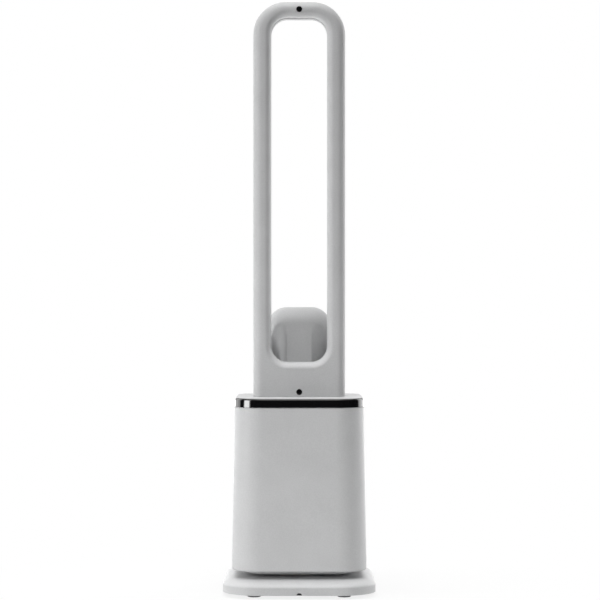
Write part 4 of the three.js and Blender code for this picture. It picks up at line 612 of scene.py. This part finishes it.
levels = [(drop - RING_OUTSET, NECK_FOOT + run) for run, drop in quarter_round(1, 1, 6)]
levels += [(-RING_OUTSET, NECK_TOP), (RING_WALL, NECK_TOP), (RING_WALL, NECK_FOOT)]
neck_ring = object_of("neck_ring_skin", skin([neck_level(*level) for level in levels], closed=True))
fit(shade(neck_ring), shell_plastic, "shell", "tower")

# %% [markdown]
# ## The slotted rear cover
# Air enters through the back of the body, by a cover that slides off to reach the filter. It is a
# piece of the body's own wall, round corners and all. Modelling it flat would leave steps at both
# sides, so the same wall is skinned again and only the part inside the window is kept.

# %% Rear cover with its slots
SLOT_ROWS = 16
SLOT_HEIGHT = 5
SLOT_RIB = 8
COVER_RAIL = 14


def keep_inside(piece, mesh):
    """Keeps only what lies inside a closed bmesh."""
    return combine(piece, "INTERSECT", mesh)


wall_foot, wall_head = cover_low.z - 6, cover_high.z + 6
levels = [(0, wall_foot), (0, wall_head), (BODY_WALL, wall_head), (BODY_WALL, wall_foot)]
rear_cover = object_of("rear_cover_panel", body_skin(levels))
keep_inside(rear_cover, cover_window(0))
slot_length = (cover_high.x - cover_low.x + 2 * COVER_GAP - 2 * COVER_RAIL - SLOT_RIB) / 2
slot_pitch = (cover_high.z - cover_low.z + 2 * COVER_GAP - 2 * COVER_RAIL) / SLOT_ROWS
half_slot = SLOT_HEIGHT / 2
for side in (-1, 1):
    middle = side * (slot_length + SLOT_RIB) / 2
    for row in range(SLOT_ROWS):
        z = cover_low.z - COVER_GAP + COVER_RAIL + (row + 0.5) * slot_pitch
        outline = corner_outline(
            middle - slot_length / 2, middle + slot_length / 2, z - half_slot, z + half_slot,
            half_slot, half_slot, 5,
        )
        cut(rear_cover, through_back(outline))
fit(shade(rear_cover), shell_plastic, "shell", "rear_cover", "rear_cover")

# %% [markdown]
# ## The top cap
# The cap closes the body with a flat plate, a rounded upper edge and a spigot that drops inside the
# shell. Round its front half it carries a shallow recess for the glass band. The recess could be
# modelled into the skin, but it ends behind the front corners, so it is cut afterwards with a
# band-shaped cutter that is a hair larger than the glass.

# %% The cap's rounded edge
CAP_ROUND = 4


def rim_inset(z):
    """How far the cap's rounded upper edge has drawn in at a height."""
    climb = max(z - cap_high.z + CAP_ROUND, 0) / CAP_ROUND
    return CAP_ROUND * (1 - math.sqrt(1 - climb * climb))


def rim_levels(low, high, depth, steps=12):
    """Levels that follow the cap's outside at a depth below it."""
    bend = cap_high.z - CAP_ROUND
    heights = [low] + [bend + (high - bend) * i / steps for i in range(steps + 1)]
    return [(rim_inset(z) + depth, z) for z in heights]


print("1 mm below its top the cap has drawn in", round(rim_inset(cap_high.z - 1), 2), "mm")

# %% Cap with its recess
CAP_WALL = 4
SPIGOT_INSET = BODY_WALL + 0.3
SPIGOT_WALL = 3
CAP_FOOT = SHELL_TOP + 0.3
BAND_REACH = 60
BAND_FOOT = measured("display_band")[0].z - BAND_DROP
BAND_TOP = cap_high.z - 0.5
BAND_EASE = 0.15
BAND_DEPTH = 2
RECESS_OUTSET = 3
BEYOND = 150
DUCT_HALF_WIDTH = 72
DUCT_FRONT, DUCT_BACK = -31.9, 15.9
DUCT_CORNER = 13.4
DUCT_CUT = (300, 345)


def band_zone(grow):
    """Everything ahead of the band's two ends, to well beyond the body."""
    back = BAND_REACH - BODY_NARROW / 2 + grow
    return block(-BEYOND, BEYOND, -BEYOND, back, CAP_FOOT - 20, cap_high.z + 20)


spigot_foot = cap_low.z
cap_levels = [
    (SPIGOT_INSET + SPIGOT_WALL, cap_high.z - CAP_WALL), (SPIGOT_INSET + SPIGOT_WALL, spigot_foot),
    (SPIGOT_INSET, spigot_foot), (SPIGOT_INSET, CAP_FOOT),
    (0.35, CAP_FOOT), (0.1, CAP_FOOT + 0.1), (0, CAP_FOOT + 0.35),
]
cap_levels += [
    (drop, cap_high.z - run) for run, drop in reversed(quarter_round(CAP_ROUND, CAP_ROUND, 8))
]
top_cap = object_of("top_cap_skin", body_skin(cap_levels, closed=False))
recess_low, recess_high = BAND_FOOT - BAND_EASE, BAND_TOP + BAND_EASE
recess_levels = [(-RECESS_OUTSET, recess_low), (-RECESS_OUTSET, recess_high)]
recess_levels += reversed(rim_levels(recess_low, recess_high, BAND_DEPTH + BAND_EASE))
recess = keep_inside(object_of("recess", body_skin(recess_levels)), band_zone(BAND_EASE))
duct_mouth = corner_outline(
    -DUCT_HALF_WIDTH, DUCT_HALF_WIDTH, DUCT_FRONT, DUCT_BACK, DUCT_CORNER, DUCT_CORNER, 8,
)
cut(top_cap, mesh_of(recess), skin([at_height(duct_mouth, z) for z in DUCT_CUT]))
fit(shade(top_cap), shell_plastic, "shell", "tower", "top_cap")

# %% [markdown]
# ## The glass band
# The touch display is a strip of black glass that follows the cap's own outline and rolls over
# with its upper edge, where it picks up a narrow gradient of light. A flat strip would end in a
# hard line there. It is skinned from the cap's own levels, and reaches 3 mm lower than in the CAD
# model.

# %% Glass band
band_levels = [(BAND_DEPTH, BAND_FOOT), (0.25, BAND_FOOT), (0.07, BAND_FOOT + 0.07)]
band_levels += rim_levels(BAND_FOOT + 0.25, BAND_TOP, 0)
band_levels += reversed(rim_levels(BAND_FOOT + 0.5, BAND_TOP, BAND_DEPTH))
band = keep_inside(object_of("glass_display_band", body_skin(band_levels)), band_zone(0))
fit(shade(band, math.radians(50)), glass, "gloss", "tower", "display_band")

# %% [markdown]
# ## The loop's two shells
# The hollow loop is the fan's air nozzle. It is two mouldings: a front shell with a wide flare
# round the opening, whose inner wall steps back behind it, and a rear shell whose lip lines the
# opening in front of that wall. Between the two is the 1.8 mm slot that blows air forwards.
# Sweeping one tube round the loop would lose the slot, the seam and the flat foot. Each shell is a
# closed skin instead: outwards over the front, in through the opening, back along the inner wall
# and round inside to where it began.

# %% Outlines of the loop
OUTER_CORNER = 56
OPENING_CORNER = 27.5
LIMB_WIDTH = 30.4
LOOP_WALL = 2.4
OUTER_ROUND = 15
REAR_ROUND = 11
FLARE_WIDTH = 11
FLARE_DEPTH = 16
LIP_STEP = 4.2
LOOP_HALF = (loop_high.x - loop_low.x) / 2
LOOP_FOOT = loop_low.z
LOOP_TOP = loop_high.z
FRONT = loop_low.y
REAR = FRONT + 60
SEAM = -6
OPENING_FLOOR = LOOP_FOOT + 57.5
OPENING_TOP = LOOP_TOP - 26.3
HALF_SEAM = 0.15
STEP_RUN = 10
LIP_END = 3


def loop_outline(inset, y, foot=LOOP_FOOT):
    """The loop's outside at one depth; its foot stays flat on the cap."""
    half = LOOP_HALF - inset
    return at_depth(corner_outline(
        -half, half, foot, LOOP_TOP - inset, 0, OUTER_CORNER - inset,
    ), y)


def inside_outline(inset, y):
    """The same for the loop's inside, with a floor above the cap."""
    return loop_outline(inset, y, LOOP_FOOT + LOOP_WALL)


def opening_outline(outset, y):
    """The loop's opening at one depth, widened by an outset."""
    half = LOOP_HALF - LIMB_WIDTH + outset
    radius = OPENING_CORNER + outset
    return at_depth(corner_outline(
        -half, half, OPENING_FLOOR - outset, OPENING_TOP + outset, radius, radius,
    ), y)


print("the opening is", round(OPENING_TOP - OPENING_FLOOR, 1), "mm high and",
      round(2 * (LOOP_HALF - LIMB_WIDTH), 1), "mm wide")

# %% Front shell
front_rings = [loop_outline(0.35, SEAM - HALF_SEAM), loop_outline(0.1, SEAM - 0.25)]
front_rings.append(loop_outline(0, SEAM - 0.5))
for run, drop in reversed(quarter_round(OUTER_ROUND, OUTER_ROUND, 12)):
    front_rings.append(loop_outline(drop, FRONT + run))
for run, drop in quarter_round(FLARE_WIDTH, FLARE_DEPTH, 14):
    front_rings.append(opening_outline(drop, FRONT + run))
for i in range(1, STEP_RUN + 1):
    step = LIP_STEP * smooth_step(i / STEP_RUN)
    front_rings.append(opening_outline(step, SEAM - STEP_RUN + i))
front_rings.append(opening_outline(LIP_STEP, LIP_END - 0.3))
front_rings.append(opening_outline(LIP_STEP + 0.3, LIP_END))
front_rings.append(opening_outline(LIP_STEP + LOOP_WALL - 0.3, LIP_END))
front_rings.append(opening_outline(LIP_STEP + LOOP_WALL, LIP_END - 0.3))
for i in range(STEP_RUN, -1, -2):
    step = LOOP_WALL + LIP_STEP * smooth_step(i / STEP_RUN)
    front_rings.append(opening_outline(step, SEAM - STEP_RUN + i))
inner_flare = quarter_round(FLARE_WIDTH - LOOP_WALL, FLARE_DEPTH - LOOP_WALL, 6)
for run, drop in reversed(inner_flare[:-1]):
    front_rings.append(opening_outline(LOOP_WALL + drop, FRONT + LOOP_WALL + run))
for run, drop in quarter_round(OUTER_ROUND - LOOP_WALL, OUTER_ROUND - LOOP_WALL, 6):
    front_rings.append(inside_outline(LOOP_WALL + drop, FRONT + LOOP_WALL + run))
front_rings.append(inside_outline(LOOP_WALL, SEAM - HALF_SEAM))
front_shell = object_of("loop_front_shell_skin", skin(front_rings, closed=True))
print("the front shell's skin runs through", len(front_rings), "outlines")


# %% Holes in the front shell
def middle_of(node):
    """The middle of a CAD piece's box, in millimetres."""
    low, high = measured(node)
    return (low + high) / 2


top_window_z = middle_of("top_sensor_window").z
foot_window_z = middle_of("receiver_window").z
WINDOW_HOLE_RADIUS = 5.15


def duct_hole(front, back):
    """What the duct takes out of a shell's foot."""
    floor, roof = LOOP_FOOT - 3, LOOP_FOOT + LOOP_WALL + 1
    return block(-DUCT_HALF_WIDTH, DUCT_HALF_WIDTH, front, back, floor, roof)


cut(
    front_shell,
    rod_along_depth(WINDOW_HOLE_RADIUS, FRONT - 4, FRONT + 6, top_window_z),
    rod_along_depth(WINDOW_HOLE_RADIUS, FRONT - 4, FRONT + 6, foot_window_z),
    duct_hole(FRONT + 4, SEAM + 5),
)
fit(shade(front_shell), shell_plastic, "shell", "tower", "loop_front_shell")

# %% [markdown]
# ## The rear shell
# The rear shell's lip runs straight forward inside the opening and stops at the seam. At the floor
# and at the top of the opening two blanks close the slot, so that air leaves only along the two
# straight limbs. A tab behind the foot takes the screws that the hump hides.

# %% Rear shell's skin
rear_rings = [opening_outline(0.5, SEAM + HALF_SEAM), opening_outline(0.15, SEAM + 0.3)]
rear_rings.append(opening_outline(0, SEAM + 0.7))
for run, drop in reversed(quarter_round(REAR_ROUND, REAR_ROUND, 12)):
    rear_rings.append(opening_outline(drop, REAR - run))
for run, drop in quarter_round(REAR_ROUND, REAR_ROUND, 12):
    rear_rings.append(loop_outline(drop, REAR - run))
rear_rings += [loop_outline(0, SEAM + 0.5), loop_outline(0.1, SEAM + 0.25)]
rear_rings.append(loop_outline(0.35, SEAM + HALF_SEAM))
rear_rings.append(inside_outline(LOOP_WALL, SEAM + HALF_SEAM))
inner_round = quarter_round(REAR_ROUND - LOOP_WALL, REAR_ROUND - LOOP_WALL, 6)
for run, drop in reversed(inner_round):
    rear_rings.append(inside_outline(LOOP_WALL + drop, REAR - LOOP_WALL - run))
for run, drop in inner_round:
    rear_rings.append(opening_outline(LOOP_WALL + drop, REAR - LOOP_WALL - run))
rear_rings.append(opening_outline(LOOP_WALL, SEAM + 0.7))
rear_rings.append(opening_outline(LOOP_WALL - 0.4, SEAM + HALF_SEAM))
rear_shell = object_of("loop_rear_shell_skin", skin(rear_rings, closed=True))
cut(rear_shell, duct_hole(SEAM - 5, REAR - 4))
print("the rear shell's skin runs through", len(rear_rings), "outlines")

# %% Slot blanks, tab and screw holes
SLOT_END_MARGIN = 34
BLANK_INNER, BLANK_OUTER = 2.1, 3.9
TAB_HALF_WIDTH = 18
TAB_HEIGHT = 4
SCREW_HOLE_RADIUS = 2.1
blank = object_of("slot_blank", skin([
    opening_outline(BLANK_INNER, SEAM + HALF_SEAM), opening_outline(BLANK_INNER, 0),
    opening_outline(BLANK_OUTER, 0), opening_outline(BLANK_OUTER, SEAM + HALF_SEAM),
], closed=True))
open_part = (OPENING_FLOOR + SLOT_END_MARGIN, OPENING_TOP - SLOT_END_MARGIN)
cut(blank, block(-BEYOND, BEYOND, -BEYOND, BEYOND, *open_part))
tab_end = measured("loop_rear_shell")[1].y
tab = (-TAB_HALF_WIDTH, TAB_HALF_WIDTH, REAR - 1.2, tab_end, LOOP_FOOT, LOOP_FOOT + TAB_HEIGHT)
for addition in (mesh_of(blank), block(*tab)):
    combine(rear_shell, "UNION", addition)
for node in ("loop_screw_left", "loop_screw_right"):
    place = middle_of(node).xy
    cut(rear_shell, round_rod(SCREW_HOLE_RADIUS, LOOP_FOOT - 2, LOOP_FOOT + 6, place, 16))
fit(shade(rear_shell), shell_plastic, "shell", "tower", "loop_rear_shell")

# %% [markdown]
# ## Two small windows
# A round black window sits in the top of the loop and another at its foot. Both are dark lenses
# with a rolled edge, set into holes of their own size. A painted dot would look flat from the side.

# %% Window lenses
LENS_PROFILE = ((2.2, 5.0), (0.75, 5.0), (0.35, 4.85), (0.1, 4.4), (0.0, 3.2))
LENS_STEPS = 36
for node, z in (("top_sensor_window", top_window_z), ("receiver_window", foot_window_z)):
    rings = []
    for depth, radius in LENS_PROFILE:
        rings.append(at_depth(circle(radius, (0, z), LENS_STEPS), FRONT + depth))
    fit(shade(object_of(node + "_lens", skin(rings))), glass, "gloss", "tower", node)

# %% [markdown]
# ## The hump behind the loop
# A hump stands on the cap behind the loop. Its front leans back as it rises, and is a flat middle
# strip with a bowl-like scoop on each side: the strip's edges are crisp at the foot and fade out
# higher up. Cutting scoops out of a round block leaves hard rims. Here the front is a fine net of
# outlines, and each point is pushed back to the scoop's depth at its place, so the strip runs into
# the dome without a seam.

# %% The hump's outline
hump_low, hump_high = measured("rear_hump")
HUMP_HALF = (hump_high.x - hump_low.x) / 2
HUMP_CORNER = 33


def arch_outline(inset, foot, side_steps=30, arc_steps=12, flat_steps=6):
    """Up the right side, round the top and down the left; the foot is straight."""
    half, top = HUMP_HALF - inset, hump_high.z - inset
    radius = min(max(HUMP_CORNER - inset, 0), half)
    flat, bend = half - radius, top - radius
    points = [(half, foot + (bend - foot) * i / side_steps) for i in range(side_steps)]
    for i in range(arc_steps):
        angle = math.radians(90) * i / arc_steps
        points.append((flat + radius * math.cos(angle), bend + radius * math.sin(angle)))
    points += [(flat * (1 - 2 * i / flat_steps), top) for i in range(flat_steps)]
    for i in range(arc_steps):
        angle = math.radians(90) * (1 + i / arc_steps)
        points.append((radius * math.cos(angle) - flat, bend + radius * math.sin(angle)))
    points += [(-half, bend + (foot - bend) * i / side_steps) for i in range(side_steps + 1)]
    return points


print("the hump's outline has", len(arch_outline(0, hump_low.z)), "points")

# %% Its scoops and its lean
STRIP_HALF = 21.5
SCOOP_HALF = 47
SCOOP_HEIGHT = 126
EDGE_HEIGHT = 106
EDGE_SCOOP = 14
SIDE_SCOOP = 31
LEAN = 18
LEAN_FOOT = OPENING_FLOOR - 3


def scoop_depth(x, z, wall):
    """How far behind the hump's front face the scoop lies at a place seen from the front."""
    edge_share = min((z - hump_low.z) / EDGE_HEIGHT, 1)
    side_share = min((z - hump_low.z) / SCOOP_HEIGHT, 1)
    across = (abs(x) - STRIP_HALF + wall) / (SCOOP_HALF - STRIP_HALF)
    if across <= 0:
        return 0
    across = min(across, 1)
    near = EDGE_SCOOP * (1 - edge_share * edge_share)
    far = SIDE_SCOOP * (1 - side_share * side_share)
    rim = 0 if wall else smooth_step(min(max((abs(x) - SCOOP_HALF) / 3, 0), 1))
    return (near + (far - near) * math.sin(math.radians(110) * across) ** 1.5) * (1 - rim)


def leaned(y, z):
    """The front leans back above the opening's floor; the back stays upright."""
    share = max(z - LEAN_FOOT, 0) / (hump_high.z - LEAN_FOOT)
    return y + LEAN * share * (hump_high.y - y) / (hump_high.y - hump_low.y)


print("at its foot the scoop is", round(scoop_depth(SCOOP_HALF, hump_low.z, 0), 1), "mm deep")

# %% The hump's net
HUMP_ROUND = 27
HUMP_REAR_ROUND = 30
HUMP_WALL = 2.5
HALF_CREASE = 0.15


def hump_ring(inset, y, foot, wall=0):
    """One outline of the hump, its points pushed back by the scoops."""
    ring = []
    for x, z in arch_outline(inset + wall, foot):
        scooped = hump_low.y + wall + scoop_depth(x, z, wall)
        pushed = max(y, min(scooped, hump_high.y - HUMP_REAR_ROUND))
        ring.append((x, leaned(pushed, z), z))
    return ring


def hump_skin(wall, foot):
    """The hump's surface moved inwards by a wall, with two rings close to the strip's edge."""
    front, back = hump_low.y + wall, hump_high.y - wall
    spine = HUMP_HALF - wall
    strip_side = HUMP_HALF - STRIP_HALF + HALF_CREASE
    scoop_side = HUMP_HALF - STRIP_HALF - HALF_CREASE
    insets = [spine - (spine - strip_side) * i / 6 for i in range(7)]
    insets += [scoop_side - (scoop_side - HUMP_ROUND) * i / 4 for i in range(4)]
    rings = [hump_ring(inset, front, foot, wall) for inset in insets]
    for run, drop in quarter_round(HUMP_ROUND - wall, HUMP_ROUND - wall, 16):
        rings.append(hump_ring(drop, front + run, foot, wall))
    for run, drop in reversed(quarter_round(HUMP_REAR_ROUND - wall, HUMP_REAR_ROUND - wall, 14)):
        rings.append(hump_ring(drop, back - run, foot, wall))
    rings.append(at_depth(arch_outline((HUMP_HALF - wall) * 0.8 + wall, foot), back))
    rings.append(at_depth(arch_outline(HUMP_HALF - 0.4, foot), back))
    return skin(rings)


rear_hump = object_of("rear_hump_skin", hump_skin(0, hump_low.z))
tab_way = TAB_HALF_WIDTH + 0.3
cut(
    rear_hump,
    hump_skin(HUMP_WALL, hump_low.z - 2),
    block(
        -tab_way, tab_way, hump_low.y - 1, hump_low.y + 5,
        hump_low.z - 1, hump_low.z + TAB_HEIGHT + 0.3,
    ),
)
fit(shade(rear_hump, math.radians(38)), shell_plastic, "shell", "tower", "rear_hump")

# %% [markdown]
# ## Floor, room and lamps
# The photograph has a pure white ground and very soft light: upward faces and the left side are the
# brightest, and the front is a quiet grey. One strong lamp would give hard edges. Here two sun-like
# lamps with very wide discs shine from above, the narrower one leaning from the front. A soft panel
# stands at the left, three more behind brighten the edges and the foot, and a last one lights only
# the glass, for its highlight. The camera and reflections see the room as white.

# %% Room light
ROOM_GLOW = 0.01


def looked_at(nodes, links):
    """One for what is seen straight, by a reflection or through glass; zero for other light."""
    paths = nodes.new("ShaderNodeLightPath")
    seen = paths.outputs["Is Camera Ray"]
    for kind in ("Is Glossy Ray", "Is Transmission Ray"):
        either = nodes.new("ShaderNodeMath")
        either.operation = "MAXIMUM"
        links.new(seen, either.inputs[0])
        links.new(paths.outputs[kind], either.inputs[1])
        seen = either.outputs[0]
    return seen


world = bpy.data.worlds.new("White room")
bpy.context.scene.world = world
world.use_nodes = True
world_nodes, world_links = world.node_tree.nodes, world.node_tree.links
room = world_nodes["Background"]
room.inputs["Color"].default_value = (1, 1, 1, 1)
seen = looked_at(world_nodes, world_links)
glow = spread(world_nodes, world_links, seen, ROOM_GLOW, 1.0, start=0, end=1)
world_links.new(glow, room.inputs["Strength"])
print("the room lights at", ROOM_GLOW)


# %% Soft panels
def soft_panel(name, place, target, width, height, watts):
    """A rectangular lamp that faces a point."""
    data = bpy.data.lights.new(name, "AREA")
    data.shape = "RECTANGLE"
    data.size = width
    data.size_y = height
    data.energy = watts
    lamp = bpy.data.objects.new(name, data)
    lamp.location = place
    lamp.rotation_euler = (Vector(target) - Vector(place)).to_track_quat("-Z", "Y").to_euler()
    lamp.visible_camera = False
    bpy.context.scene.collection.objects.link(lamp)
    return lamp


soft_panel("Left panel", (-2.35, -1.1, 0.9), (0, 0, 0.55), 1.1, 2.0, 30)
soft_panel("Left back panel", (-2.3, 1.4, 0.9), (0, 0, 0.55), 1.6, 2.0, 16)
soft_panel("Right back panel", (2.2, 1.5, 0.9), (0, 0, 0.55), 1.6, 2.0, 25)
soft_panel("Low back panel", (0, 1.5, 0.1), (0, 0, 1.0), 2.4, 0.5, 8)
glint = soft_panel("Band glint", (-2.83, -1.04, 0.5), (0, 0, 0.5), 1.3, 1.0, 56)
glint.visible_diffuse = False
lit_by_glint = bpy.data.collections.new("Lit by the glint")
lit_by_glint.objects.link(band)
glint.light_linking.receiver_collection = lit_by_glint


def sky_lamp(name, strength, softness, lean):
    """A sun-like lamp: softness is how wide it looks, lean how far it comes from the front."""
    lamp = bpy.data.objects.new(name, bpy.data.lights.new(name, "SUN"))
    lamp.data.energy = strength
    lamp.data.angle = math.radians(softness)
    lamp.rotation_euler.x = math.radians(lean)
    bpy.context.scene.collection.objects.link(lamp)


sky_lamp("Wide overhead", 1.95, 80, 0)
sky_lamp("Front overhead", 1.2, 40, 20)

# %% [markdown]
# ## The floor
# The floor is a plain pale sheet. Far from the fan it is as white as the room, so no horizon shows;
# near the fan a small share of an ordinary lit floor is mixed in, and with it a soft shadow under
# the stand. The change is tied to the place on the floor, not to the camera, so it stays put in
# every view.

# %% Floor sheet
FLOOR_RADIUS = 1.7
FLOOR_AHEAD = 0.4
FLOOR_DROP = 0.0002
floor_mesh = bmesh.new()
bmesh.ops.create_circle(floor_mesh, cap_ends=True, segments=96, radius=FLOOR_RADIUS)
floor_shift = (0, -FLOOR_AHEAD, -FLOOR_DROP)
bmesh.ops.translate(floor_mesh, verts=floor_mesh.verts, vec=floor_shift)
floor = object_of("pale_floor", floor_mesh)
print("the floor is", 2 * FLOOR_RADIUS, "m across")

# %% Floor finish
SHADOW_RADIUS = 0.2
WHITE_RADIUS = 0.6
NEAR_WHITE = 0.84
floor_white, floor_nodes, floor_links, floor_shader, floor_place = finish_nodes("Pale floor", 0.9)
floor_shader.inputs["Base Color"].default_value = (0.8, 0.8, 0.8, 1)
floor_shader.inputs["Specular IOR Level"].default_value = 0.1
distance = floor_nodes.new("ShaderNodeVectorMath")
distance.operation = "LENGTH"
floor_links.new(floor_place, distance.inputs[0])
whiteness = spread(
    floor_nodes, floor_links, distance.outputs["Value"], NEAR_WHITE, 1.0,
    start=SHADOW_RADIUS, end=WHITE_RADIUS,
)
whiteness.node.interpolation_type = "SMOOTHSTEP"
share = floor_nodes.new("ShaderNodeMath")
share.operation = "MULTIPLY"
floor_links.new(looked_at(floor_nodes, floor_links), share.inputs[0])
floor_links.new(whiteness, share.inputs[1])
white = floor_nodes.new("ShaderNodeEmission")
white.inputs["Strength"].default_value = 1.0
blend = floor_nodes.new("ShaderNodeMixShader")
floor_links.new(share.outputs[0], blend.inputs["Fac"])
floor_links.new(floor_shader.outputs["BSDF"], blend.inputs[1])
floor_links.new(white.outputs["Emission"], blend.inputs[2])
floor_links.new(blend.outputs["Shader"], floor_nodes["Material Output"].inputs["Surface"])
floor.data.materials.append(floor_white)
floor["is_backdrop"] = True
print("the floor is as white as the room from", WHITE_RADIUS, "m outwards")

# %% [markdown]
# ## A dark cloth for the reflections
# Black glass looks black only where it reflects something dark. In a studio a dark cloth hangs
# behind the camera for that. Dimming the glass itself would spoil it for any other light. The
# cloth here is a tall curved sheet round the front and sides, which only reflections meet: the
# camera, the lamps' light and the shadows pass through it.

# %% Dark cloth
CLOTH_RADIUS = 3.9
CLOTH_SWEEP = 208
CLOTH_FOOT, CLOTH_HEAD = -1.2, 3.2
CLOTH_STEPS = 48
cloth_mesh = bmesh.new()
columns = []
for i in range(CLOTH_STEPS + 1):
    turn = math.radians(-90 + CLOTH_SWEEP * (i / CLOTH_STEPS - 0.5))
    x, y = CLOTH_RADIUS * math.cos(turn), CLOTH_RADIUS * math.sin(turn)
    columns.append([cloth_mesh.verts.new((x, y, z)) for z in (CLOTH_FOOT, CLOTH_HEAD)])
for (foot, head), (next_foot, next_head) in zip(columns, columns[1:]):
    cloth_mesh.faces.new((foot, next_foot, next_head, head))
cloth = object_of("dark_cloth", cloth_mesh)
cloth.data.materials.append(
    grained("Dark cloth", (0.004, 0.004, 0.004), (0.008, 0.008, 0.008), 0.95, 600, 1e-3)
)
for kind in ("camera", "diffuse", "transmission", "volume_scatter", "shadow"):
    setattr(cloth, "visible_" + kind, False)
cloth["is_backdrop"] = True
print("the cloth stands", CLOTH_RADIUS, "m from the fan")

# %% [markdown]
# The dressed fan is meant to fill the same box as the CAD model. The fan's box is printed here.

# %% Set the view transform and print the fan's box
bpy.context.scene.view_settings.view_transform = "Standard"
low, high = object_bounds()
print("fan box", [round(v, 4) for v in (*low, *high)])
